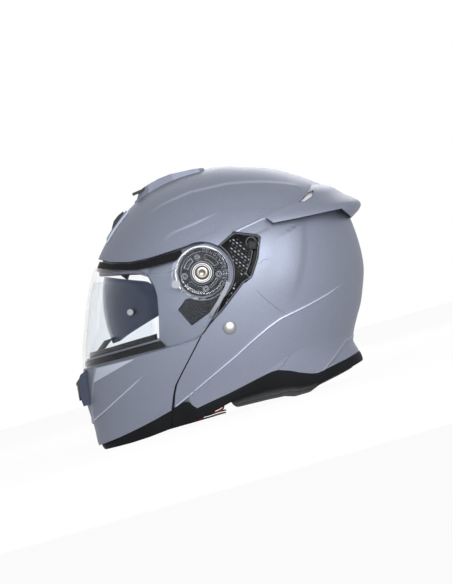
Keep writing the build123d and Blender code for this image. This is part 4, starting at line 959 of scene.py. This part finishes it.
def side_panel(side):
    """Gloss black panel behind a pivot: dimpled fields, an inset frame and the left one's slider channel."""
    up, across = np.linspace(0, 1, 190), np.linspace(0, 1, 64)
    places = ruled_across(along(PANEL_INNER, up), along(PANEL_OUTER, up), across)
    edge = np.minimum(np.abs(from_line(places, PANEL_OUTER)[0]), np.abs(from_line(places, PANEL_INNER)[0]))
    relief = 0.45 * smooth(edge, 0, 1.1) - 0.55 * smooth(edge, 2.0, 2.7)
    # Painted highlight: a shine mark along the frame's edge, on the dimples and on the channel's rim
    shine = 0.25 * np.exp(-(((edge - 1.1) / 0.5) ** 2))
    for field, glint in zip(PANEL_FIELD, FIELD_GLINT):
        bump = smooth(inside(places, field), 0, 0.8) * (1 - smooth(honeycomb(places, FIELD_PITCH), 0.3, 0.8))
        relief += 0.9 * bump
        shine += glint * bump * smooth(np.sin(places[..., 0] * 1.9 + places[..., 1] * 1.3), -0.2, 0.6)
    if side == "left":
        gap = np.abs(from_line(places, CHANNEL)[0])
        relief -= 1.2 * (1 - smooth(gap, 3.0, 4.2))
        relief += 0.7 * np.exp(-((gap - CHANNEL_RIM) / 0.5) ** 2)
        shine += 0.3 * np.exp(-((gap - CHANNEL_RIM) / 0.4) ** 2)
    relief = np.where(edge < 1e-6, 0, relief)
    part = coat(lift(places), relief + 0.25, -2.0)
    piece("vent_panel_" + side, on_side(part, side), "gloss_black", "shell", sharp=30,
          stands_for=("side_panel_" + side,), marks=(("shine", doubled(shine)),))


# The slider's knob: its corners, and how far over the body it rides to pass the panel and the shell
KNOB_CORNERS = np.array([(41.4, 161.5), (44, 169.6), (53.2, 166.8), (50.4, 158.4)])
KNOB_LIFT = 2.2


def slider_knob():
    """Ribbed knob of the sun visor's slider."""
    foot, head, far_head, far_foot = KNOB_CORNERS
    share = np.linspace(0, 1, 40)
    column = share[:, None]
    places = patch(foot + (far_foot - foot) * column, head + (far_head - head) * column,
                   foot + (head - foot) * column, far_foot + (far_head - far_foot) * column, share, share)
    swell = hump(share, 8)[None] * hump(share, 8)[:, None]
    ribs = 0.35 * smooth(np.cos(share * 2 * pi * 4.5), -0.4, 0.4)[:, None]
    part = coat(lift(places), KNOB_LIFT + 0.15 + swell * (1.3 + ribs), KNOB_LIFT)
    piece("slider_knob", left_side(part), "vent_black", "sun_visor_slider", sharp=35,
          stands_for=("sun_visor_slider",))


def side_panels():
    """Both side panels, and the knob on the left one."""
    side_panel("left")
    side_panel("right")
    slider_knob()


def wheel(radii, heights, turns):
    """Side-view disc grid: a height over each radius and turn, about the pivot."""
    radius, turn = radii[:, None], turns[None]
    return np.stack([PIVOT[0] + radius * np.cos(turn), heights, PIVOT[1] + radius * np.sin(turn)], -1)


# Slots and lands of a detent plate: two radii, two angles in degrees and the rise. Its bosses: angle and radius.
PLATE_ARCS = (
    (14.2, 20.0, 12, 66, -0.75), (14.6, 19.4, 110, 152, 0.9), (14.0, 20.4, 200, 262, -0.7),
    (15.2, 18.2, 284, 326, 0.8),
)
PLATE_BOSSES = ((92, 17.0), (176, 18.6), (268, 17.0), (340, 17.4))


def detent_plates():
    """Dark detent plates in the arms: a toothed rim, spring slots, screw bosses and a raised hub, as one
    height over radius and turn."""
    radii = np.concatenate([[4.4], np.linspace(4.6, 25.9, 74), [26.0]])
    turns = np.linspace(0, 2 * pi, 289)[:-1]
    radius, turn = np.broadcast_arrays(radii[:, None], turns[None])
    degrees = np.degrees(turn)
    high = 0.9 + 0 * radius
    high += 0.9 * (1 - smooth(radius, 11.5, 12.3))
    teeth = (degrees < 78) | (degrees > 318)
    high += np.where(teeth, 0.9 * smooth(np.cos(36 * turn), -0.3, 0.3), 0.6) * smooth(radius, 21.8, 22.3)
    high *= 1 - 0.4 * smooth(radius, 25.0, 25.9)
    for low, far, start, end, rise in PLATE_ARCS:
        ring = smooth(radius, low, low + 0.7) * (1 - smooth(radius, far - 0.7, far))
        high += rise * ring * smooth(degrees, start, start + 4) * (1 - smooth(degrees, end - 4, end))
    for angle, reach in PLATE_BOSSES:
        gap = np.hypot(radius * np.cos(turn) - reach * cos(radians(angle)),
                       radius * np.sin(turn) - reach * sin(radians(angle)))
        high += 0.9 * (1 - smooth(gap, 2.6, 3.0)) - 0.8 * (1 - smooth(gap, 1.3, 1.6))
    high = np.clip(high, 0.15, 2.25)
    high[0] = high[-1] = 0
    top = wheel(radii, PLATE_FOOT + high, turns)
    low = wheel(radii[[-1, 0]], np.full((2, len(turns)), PLATE_FOOT), turns)
    rings = np.concatenate([top, low])
    # Painted highlight: a shine mark on the steep slopes of the plate
    slope = np.hypot(np.gradient(high, radii, axis=0), np.gradient(high, turns, axis=1) / radius)
    shine = np.concatenate([smooth(slope, 0.35, 1.3), np.zeros((2, len(turns)))]).ravel()
    piece("detent_plates", both_sides(tube(rings, closed=True)), "detent", "chin_bar", sharp=32,
          stands_for=("ratchet_plates",), marks=(("shine", np.concatenate([shine, shine])),))


def pivot_fittings():
    """Double bright ring and the socketed screw at each pivot, both turned profiles."""
    ring = [(6.95, RING_FOOT), (6.95, 116.9), (7.4, 117.5), (8.0, 117.6), (8.4, 117.1), (8.5, 116.5),
            (8.9, 116.4), (9.1, 117.0), (9.6, 117.2), (10.15, 116.8), (10.3, 116.2), (10.3, RING_FOOT)]
    # Painted highlight: a shine mark on the crests of the ring's profile
    shine = np.repeat([0, 0, 0, 1, 0.8, 0, 0, 0.3, 1, 0.9, 0.2, 0], 96)
    piece("pivot_rings", both_sides(turned(ring, PIVOT, 96, closed=True)), "ring", "visor",
          stands_for=("hub_rings",), marks=(("shine", np.concatenate([shine, shine])),))
    tail = 103.3
    pin = [(0.01, tail - 2.6), (6.2, tail - 2.6), (6.5, tail - 2.2), (6.5, tail - 0.1), (4, tail), (4, 115.25),
           (6.4, 115.3), (6.5, 116.6), (5.9, 117.4), (4.4, 117.7), (3.5, 117.6), (3.1, 116.2), (2.6, 115.9),
           (0.01, 115.8)]
    piece("pivot_screws", both_sides(turned(pin, PIVOT, 72)), "screw", "shell", stands_for=("pivot_pins",))
    seat = float(half_width(RIVET)) + 0.2
    dome = [(0.01, 110.3), (2.5, 110.3), (2.5, seat - 1.5), (6.6, seat - 1.2), (7.05, seat + 0.15),
            (6.9, seat + 0.6), (6.2, seat + 1.25), (4.8, seat + 2.0), (3.0, seat + 2.45), (1.4, seat + 2.6),
            (0.01, seat + 2.65)]
    piece("rivet_domes", both_sides(turned(dome, RIVET, 72)), "rivet", "shell", stands_for=("strap_rivets",))


def arm_covers():
    """Ribbed dark cover below each pivot."""
    across, up = np.linspace(0, 1, 110), np.linspace(0, 1, 60)
    arc = np.radians(np.linspace(-137, -67, 12))
    head_line = np.concatenate([[(-45.1, 121.0), (-34.4, 129.6)],
                                PIVOT + 28.9 * np.stack([np.cos(arc), np.sin(arc)], -1)[1:]])
    foot_line = np.array([(-35.9, 101.2), (-13.7, 109.4), (3.2, 124.8)])
    foot, head = along(foot_line, across), along(head_line, across)
    places = patch(foot, head, foot[0] + (head[0] - foot[0]) * up[:, None],
                   foot[-1] + (head[-1] - foot[-1]) * up[:, None], across, up)
    edge = np.minimum(np.minimum(across, 1 - across)[None] * 46, np.minimum(up, 1 - up)[:, None] * 22)
    frame_rib = 0.45 * smooth(edge, 0.3, 0.9) - 0.35 * smooth(edge, 2.0, 2.5)
    field = smooth(edge, 2.5, 3.2)
    ribs = 0.22 * smooth(np.cos(across * 2 * pi * 15), -0.2, 0.6)[None] * field
    bars = 0.3 * sum(np.exp(-((up - level) / 0.02) ** 2) for level in (0.38, 0.7))[:, None] * field
    part = coat(lift(places, COVER_DEPTH), 0.45 + frame_rib + ribs + bars, -0.1)
    for side in ("right", "left"):
        piece("arm_tongue_" + side, on_side(part, side), "mechanism", "chin_bar", sharp=30,
              stands_for=("arm_cover_" + side,))


# Soft pieces
def oval_place(turn, height, inset):
    """Point of the body's level section at a turn from the rear, inset in its own plane."""
    front, rear, side = (np.interp(height, *profile) - inset for profile in profiles(0.0))
    ahead = np.cos(turn) < 0
    reach = np.where(ahead, front + MIDDLE, rear - MIDDLE)
    full = np.where(ahead, FRONT_FULLNESS, REAR_FULLNESS)
    radius = (np.abs(np.cos(turn) / reach) ** full + np.abs(np.sin(turn) / side) ** full) ** (-1 / full)
    return np.stack([MIDDLE + radius * np.cos(turn), radius * np.sin(turn), height + 0 * turn], -1)


ROLL_FOOT = np.array([
    (-40, 6.6), (-26, 6.2), (19.8, 4.6), (40, 3.3), (52, 0.1), (66, 0.1), (74.9, 4.1), (95.1, 8.0),
    (114.9, 12.1), (150.1, 15.9),
])


# How far the roll turns from the rear, in radians, its top, half its width and how far in its middle runs
ROLL_TURN = 1.86
ROLL_TOP = 32.0
ROLL_HALF = 11.0
ROLL_INSET = 18.9


def neck_roll():
    """Padded roll round the neck: a rounded section carried round the body's level ovals, with a seam's
    pinch and soft puckers, drawn in at its ends."""
    turns = np.linspace(-ROLL_TURN, ROLL_TURN, 260)
    loop = np.linspace(0, 2 * pi, 72, endpoint=False)
    end = np.clip((ROLL_TURN - np.abs(turns)) / 0.07, 0, 1)
    plump = np.sqrt(1 - (1 - end) ** 2)[:, None]
    level_x = oval_place(turns, np.full_like(turns, 16.0), 18.0)[:, 0]
    foot = np.interp(level_x, *ROLL_FOOT.T)[:, None]
    puckers = 0.28 * np.sin(turns * 61)[:, None] * np.exp(-((np.cos(loop) - 0.1) / 0.5) ** 2)[None]
    pinch = (1.3 * np.exp(-(((loop - 3.9) / 0.09) ** 2)) + 0.8 * np.exp(-(((loop - 5.5) / 0.08) ** 2)))[None]
    wide = (ROLL_HALF - pinch + puckers) * (0.25 + 0.75 * plump)
    tall = (ROLL_TOP - foot) / 2 - 0.7 * pinch
    round_x = np.sign(np.cos(loop)) * np.abs(np.cos(loop)) ** 0.75
    round_z = np.sign(np.sin(loop)) * np.abs(np.sin(loop)) ** 0.75
    inset = ROLL_INSET + wide * round_x[None]
    height = (ROLL_TOP + foot) / 2 + tall * (0.3 + 0.7 * plump) * round_z[None]
    rings = oval_place(np.repeat(turns[:, None], len(loop), 1), height, inset)
    roll = piece("neck_pad", tube(rings), "neck_cloth", "shell", sharp=70, stands_for=("neck_roll",))


CROWN_EDGE = np.array([
    (-65.5, 112.2), (-63.5, 130), (-63.5, 150), (-67.5, 167.5), (-77.5, 175.2), (-98, 176.6),
])


def crown_pad():
    """Quilted crown lining: two body surfaces, the inner one crowned between sewn channels."""
    up, across = np.linspace(0, 1, 150), crowded(70, 1.7)
    middle = middle_line((118, 112.2), (-106, 177), up, CROWN_DEPTH)
    grid = across_middle(lift(ruled_across(along(CROWN_EDGE, up), middle, across), CROWN_DEPTH))
    over = np.linspace(0, 1, grid.shape[1])
    lanes = np.abs(np.sin(over * pi * 9))[None]
    rows = np.abs(np.sin(up * pi * 6))[:, None]
    rim = np.minimum(np.minimum(up, 1 - up)[:, None] * 9, np.minimum(over, 1 - over)[None] * 14)
    thick = 1.2 + 5.6 * np.clip(rim, 0, 1) ** 0.5 * (0.62 + 0.38 * np.minimum(lanes, rows) ** 0.4)
    pad = piece("crown_pad", coat(grid, 0, -thick), "lining", "shell", sharp=70, stands_for=("crown_liner",))


CHEEK_FRONT = np.array([(-66.5, 34), (-70.5, 72), (-67.2, 106.5)])
CHEEK_REAR = np.array([(42, 34), (44, 70), (44, 106.5)])


def cheek_pads():
    """Crowned cheek pads with a sewn channel round a raised middle."""
    across, up = np.linspace(0, 1, 90), np.linspace(0, 1, 80)
    places = ruled_across(along(CHEEK_FRONT, up), along(CHEEK_REAR, up), across)
    u, v = (2 * across - 1)[None], (2 * up - 1)[:, None]
    crowned = np.clip((1 - np.abs(u) ** 5) * (1 - np.abs(v) ** 5), 0, 1) ** 0.45
    seam = np.exp(-(((np.maximum(np.abs(u), np.abs(v)) - 0.72) / 0.03) ** 2))
    part = coat(lift(places, CHEEK_DEPTH), 0, -(0.8 + 16.0 * crowned - 1.8 * seam))
    for side in ("right", "left"):
        pad = piece("cheek_cushion_" + side, on_side(part, side), "lining", "shell", sharp=70,
                    stands_for=("cheek_pad_" + side,))


WEB_THICKNESS = 1.9


def softened(points, step, spread):
    """Line with corners, sampled at an even step and rounded by a running mean."""
    count = int(run_length(np.asarray(points, float))[-1] / step) + 1
    line = along(points, np.linspace(0, 1, count))
    before, after = 2 * line[0] - line[spread:0:-1], 2 * line[-1] - line[-2:-spread - 2:-1]
    padded_line = np.concatenate([before, line, after])
    kernel = np.ones(2 * spread + 1) / (2 * spread + 1)
    return np.stack([np.convolve(column, kernel, "valid") for column in padded_line.T], -1)


def ribbon(line, width):
    """Woven strip: a thin section with selvedges, carried along a (y, z) line, its width along X."""
    along_it = np.gradient(line, axis=0)
    along_it /= np.linalg.norm(along_it, axis=1)[:, None]
    out = np.stack([along_it[:, 1], -along_it[:, 0]], -1)
    share = np.linspace(-1, 1, 17)
    selvedge = np.exp(-((np.abs(share) - 0.86) / 0.06) ** 2)
    half = WEB_THICKNESS / 2 * (0.72 + 0.28 * selvedge) * (1 - np.abs(share) ** 24)
    across = np.concatenate([share, share[::-1]]) * width / 2
    lift_by = np.concatenate([half, -half[::-1]])
    rings = np.zeros((len(line), len(across), 3))
    rings[..., 0] = across
    rings[..., 1:] = line[:, None] + out[:, None] * lift_by[None, :, None]
    return tube(rings)


# Straps from the rivets to under the chin, as (y, z) lines, with the place across the middle where each ends
STRAP_LINE = np.array([
    (111.6, 96.4), (111.6, 83.5), (102.9, 62.2), (71.4, 38.6), (58.3, 23.6), (30.0, 14.1), (-17.9, 14.1),
])
STRAP_ENDS = (("right", -17.9), ("left", 28.4))


def chin_straps():
    """Woven chin straps: the right one ends in its tongue, the left one in the buckle."""
    for side, end in STRAP_ENDS:
        line = STRAP_LINE.copy()
        line[-1, 0] = end
        line[-2, 0] = max(line[-2, 0], end + 1.5)
        path = softened(line, 1.5, 4)
        points, faces = ribbon(path, 24.0)
        strap = piece("strap_" + side, on_side((points + (RIVET[0], 0, 0), faces), side), "webbing", "shell",
                      sharp=60, stands_for=("chin_strap_" + side,))


# Loop under the rim, as an (x, z) line, and how far it hangs from the middle plane
PULL_LOOP = np.array([(-64, 32), (-61.5, 5.2), (-54, 4.8), (-45, 8.6), (-36, 6.6), (-27.5, 8.8), (-25.5, 32)])
PULL_LOOP_SIDE = 76.2


def pull_loops():
    """Red woven loops under the rim, one on each side."""
    path = softened(PULL_LOOP, 0.7, 3)
    points, faces = ribbon(path, 12.0)
    points = points[:, [1, 0, 2]] + (0, PULL_LOOP_SIDE, 0)
    loops = piece("pull_loops", both_sides((points, faces)), "red_webbing", "shell", sharp=60,
                  stands_for=("pull_tabs",))


def wind_flap():
    """Cloth flap under the chin: a band inside the rim that sags a little between its ends."""
    turns, across = np.linspace(2.06, 2.99, 90), np.linspace(0, 1, 30)
    turn = np.repeat(turns[:, None], len(across), 1)
    inset = 6.4 + 26.0 * across[None] + 0 * turn
    sag = 0.9 * np.sin(across * pi)[None] * np.sin((turns - 2.06) / 0.93 * pi)[:, None]
    hem = 0.25 * np.exp(-((across - 0.93) / 0.03) ** 2)[None]
    ripple = 0.25 * np.sin(turns * 24)[:, None] * across[None] ** 2
    mid = oval_place(turn, 3.9 - 0.6 * sag + ripple, inset)
    upper, lower = mid + (0, 0, 0.6), mid - (0, 0, 0.6)
    upper[..., 2] += hem
    lower[..., 2] -= hem
    part = both_sides(wall(upper, lower))
    flap = piece("wind_flap", part, "lining", "chin_bar", sharp=60, stands_for=("chin_curtain",))


# Stage
class HelmetSizes(bpy.types.PropertyGroup):
    """Sizes that a user may change."""

    camera_distance: bpy.props.FloatProperty(
        name="Camera distance", description="From the camera to the middle of the helmet", default=6.0,
        unit="LENGTH")
    view_width: bpy.props.FloatProperty(
        name="View width", description="Width of the picture at the helmet", default=0.479, unit="LENGTH")
    elevation: bpy.props.FloatProperty(
        name="Camera height angle", description="How far the camera looks down", default=0.0,
        subtype="ANGLE")
    roll: bpy.props.FloatProperty(
        name="Camera roll", description="Lean of the helmet in the picture", default=radians(15.9),
        subtype="ANGLE")


class HelmetColours(bpy.types.PropertyGroup):
    """Colours that a user may change."""

    paint: bpy.props.FloatVectorProperty(
        name="Paint", description="Satin metallic paint of the shell", size=3, subtype="COLOR",
        default=(0.19, 0.208, 0.262))
    light_paint: bpy.props.FloatVectorProperty(
        name="Light paint", description="Bare lighter patches of the chin bar", size=3, subtype="COLOR",
        default=(0.42, 0.45, 0.53))
    floor: bpy.props.FloatVectorProperty(
        name="Floor", description="Plain floor", size=3, subtype="COLOR", default=(0.9, 0.9, 0.9))


def backdrop_mix(tree, lit, share, glow):
    """White, by a share, to the camera, in reflections and through glass, and the lit shader otherwise."""
    path = node(tree, "ShaderNodeLightPath")
    either = maths(tree, "MAXIMUM", path.outputs["Is Camera Ray"], path.outputs["Is Transmission Ray"])
    seen = maths(tree, "MAXIMUM", either, path.outputs["Is Glossy Ray"])
    weight = maths(tree, "MULTIPLY", seen, share)
    mix = node(tree, "ShaderNodeMixShader", ((0, weight), (1, lit.outputs[0])))
    white = node(tree, glow, (("Color", (1, 1, 1, 1)), ("Strength", 1.0)))
    tree.links.new(white.outputs[0], mix.inputs[2])
    return mix


# Share of the floor's own white over its lit colour, which keeps the shadow
FLOOR_GLOW = 0.95


# Height of the floor, just under the helmet, and half its width, in metres
FLOOR_LEVEL = -0.0006
FLOOR_REACH = 4.0

# What the lamps and the camera look at, in metres
LAMP_TARGET = Vector((0, 0, 0.13))
VIEW_TARGET = Vector((0.0079, 0, 0.1251))

SKY_COLOUR = (0.86, 0.9, 1.0, 1)
SKY_STRENGTH = 0.13
SENSOR_WIDTH = 36.0

# Lamp: name, place and size in metres, power in watts and colour
LAMPS = (
    ("key", (0.35, -2.0, 0.7), (1.2, 1.0), 64.0, (1.0, 1.0, 1.0)),
    ("far", (0.3, 1.6, 1.0), (1.2, 0.8), 14.0, (1.0, 1.0, 1.0)),
)


def make_floor(colour):
    """Plain floor that stays white to the camera."""
    floor = bpy.data.meshes.new("floor")
    signs = ((-1, -1), (1, -1), (1, 1), (-1, 1))
    corners = [(x * FLOOR_REACH, y * FLOOR_REACH, FLOOR_LEVEL) for x, y in signs]
    floor.from_pydata(corners, [], [(0, 1, 2, 3)])
    placed("floor", floor)
    material, tree, shader = new_material("floor", Base_Color=(*colour, 1), Roughness=0.9)
    mix = backdrop_mix(tree, shader, FLOOR_GLOW, "ShaderNodeEmission")
    tree.links.new(mix.outputs[0], tree.nodes["Material Output"].inputs["Surface"])
    floor.materials.append(material)


def make_world():
    """Faint bluish sky that is white to the camera."""
    world = bpy.data.worlds.new("studio")
    bpy.context.scene.world = world
    world.use_nodes = True
    tree = world.node_tree
    sky = tree.nodes["Background"]
    sky.inputs["Color"].default_value = SKY_COLOUR
    sky.inputs["Strength"].default_value = SKY_STRENGTH
    mix = backdrop_mix(tree, sky, 1.0, "ShaderNodeBackground")
    tree.links.new(mix.outputs[0], tree.nodes["World Output"].inputs["Surface"])


def make_lamps():
    """Soft rectangular lamps turned to the helmet."""
    for name, place, size, power, colour in LAMPS:
        lamp = bpy.data.lights.new(name, "AREA")
        lamp.energy, lamp.color, lamp.shape = power, colour, "RECTANGLE"
        lamp.size, lamp.size_y = size
        thing = placed(name, lamp)
        thing.location = place
        thing.rotation_euler = (LAMP_TARGET - Vector(place)).to_track_quat("-Z", "Y").to_euler()


def make_camera(sizes):
    """Camera at the photograph's angle, leaning so that the helmet tilts in the picture."""
    camera = bpy.data.cameras.new("camera")
    eye = placed("camera", camera)
    right = Vector((cos(sizes.roll), 0, -sin(sizes.roll)))
    up = Vector((sin(sizes.roll), 0, cos(sizes.roll)))
    look = Vector((0, cos(sizes.elevation), 0)) - up * sin(sizes.elevation)
    top = up * cos(sizes.elevation) + Vector((0, sin(sizes.elevation), 0))
    turn = Matrix((right, top, -look)).transposed()
    eye.matrix_world = Matrix.Translation(VIEW_TARGET - look * sizes.camera_distance) @ turn.to_4x4()
    camera.sensor_fit = "HORIZONTAL"
    camera.sensor_width = SENSOR_WIDTH
    camera.lens = SENSOR_WIDTH * sizes.camera_distance / sizes.view_width
    camera.clip_start, camera.clip_end = 0.1, 50.0
    bpy.context.scene.camera = eye


def make_stage():
    """Floor, world, lamps and camera."""
    scene = bpy.context.scene
    scene.view_settings.view_transform = "Standard"
    make_floor(scene.helmet_colours.floor)
    make_world()
    make_lamps()
    make_camera(scene.helmet_sizes)


# CAD pieces whose look differs from their slot's
REPAINTED = {
    "top_vent_housing": "paint", "brow_vent_frame": "paint", "chin_vent_cover": "front_cover",
    "insert_pins": "stud", "visor_studs": "stud",
}


def make_finishes():
    """Every finish, and each CAD node given the finish of its slot."""
    colours = bpy.context.scene.helmet_colours
    for name, maker in (("mottle", mottle_group), ("grain", grain_group), ("knit", knit_group),
                        ("crease", crease_group)):
        GROUPS[name] = maker()
    for name, values in PLAIN.items():
        plain_finish(name, *values)
    for name, values in CLEAR.items():
        clear_finish(name, *values)
    paint_finish("paint", colours.paint)
    paint_finish("light_paint", colours.light_paint)
    for entry in frame["record"]["subparts"]:
        mesh = frame["nodes"][entry["node"]].data
        mesh.materials.clear()
        mesh.materials.append(FINISHES[REPAINTED.get(entry["node"], entry["material_slot"])])


def operator(label, words, action):
    """Operator class for one piece or group of pieces."""
    def execute(self, context):
        action()
        return {"FINISHED"}

    name = label.replace(" ", "_").lower()
    return type("HELMET_OT_" + name, (bpy.types.Operator,), {
        "__doc__": words, "bl_idname": "helmet." + name, "bl_label": label, "execute": execute,
    })


OPERATORS = (
    operator("Finishes", "Make the finishes and dress the CAD pieces", make_finishes),
    operator("Painted shell", "Creased paint of the shell", painted_shell),
    operator("Chin paint", "Creased paint of the chin bar", chin_paint),
    operator("Gap beads", "Rubber beads on the chin bar's rear edges", gap_beads),
    operator("Edgings", "Rubber edging of the shell and chin bar", edgings),
    operator("Clear visor", "Clear visor", clear_visor),
    operator("Eyeport lip", "Grey lip over the eye opening", eyeport_highlight),
    operator("Visor details", "Ribbed strips and bright rims of the visor", visor_details),
    operator("Chin triangles", "Lighter patches of the chin bar", chin_triangle),
    operator("Side panels", "Panels behind the pivots and the slider's knob", side_panels),
    operator("Detent plates", "Detent plates in the arms", detent_plates),
    operator("Pivot fittings", "Bright rings, screws and rivets", pivot_fittings),
    operator("Arm covers", "Ribbed covers below the pivots", arm_covers),
    operator("Neck roll", "Padded roll round the neck", neck_roll),
    operator("Crown pad", "Quilted lining of the crown", crown_pad),
    operator("Cheek pads", "Cushions at the cheeks", cheek_pads),
    operator("Chin straps", "Woven chin straps", chin_straps),
    operator("Pull loops", "Red loops under the rim", pull_loops),
    operator("Wind flap", "Cloth flap under the chin", wind_flap),
    operator("Stage", "Floor, lamps, world and camera", make_stage),
)


class HELMET_PT_panel(bpy.types.Panel):
    """Helmet's pieces in the sidebar."""

    bl_label = "Helmet"
    bl_idname = "HELMET_PT_panel"
    bl_space_type = "VIEW_3D"
    bl_region_type = "UI"
    bl_category = "Helmet"

    def draw(self, context):
        for maker in OPERATORS:
            self.layout.operator(maker.bl_idname)
        for group in (context.scene.helmet_sizes, context.scene.helmet_colours):
            for name in group.bl_rna.properties.keys():
                if name not in ("rna_type", "name"):
                    self.layout.prop(group, name)


CLASSES = (HelmetSizes, HelmetColours, *OPERATORS, HELMET_PT_panel)


def register():
    """Register the classes and the settings."""
    for maker in CLASSES:
        bpy.utils.register_class(maker)
    bpy.types.Scene.helmet_sizes = bpy.props.PointerProperty(type=HelmetSizes)
    bpy.types.Scene.helmet_colours = bpy.props.PointerProperty(type=HelmetColours)


def unregister():
    """Take the settings and the classes away."""
    del bpy.types.Scene.helmet_sizes, bpy.types.Scene.helmet_colours
    for maker in reversed(CLASSES):
        bpy.utils.unregister_class(maker)


def main():
    """Make every piece and write the CAD's and the dressed model's boxes."""
    register()
    for maker in OPERATORS:
        group, name = maker.bl_idname.split(".")
        getattr(getattr(bpy.ops, group), name)()


if __name__ == "__main__":
    main()
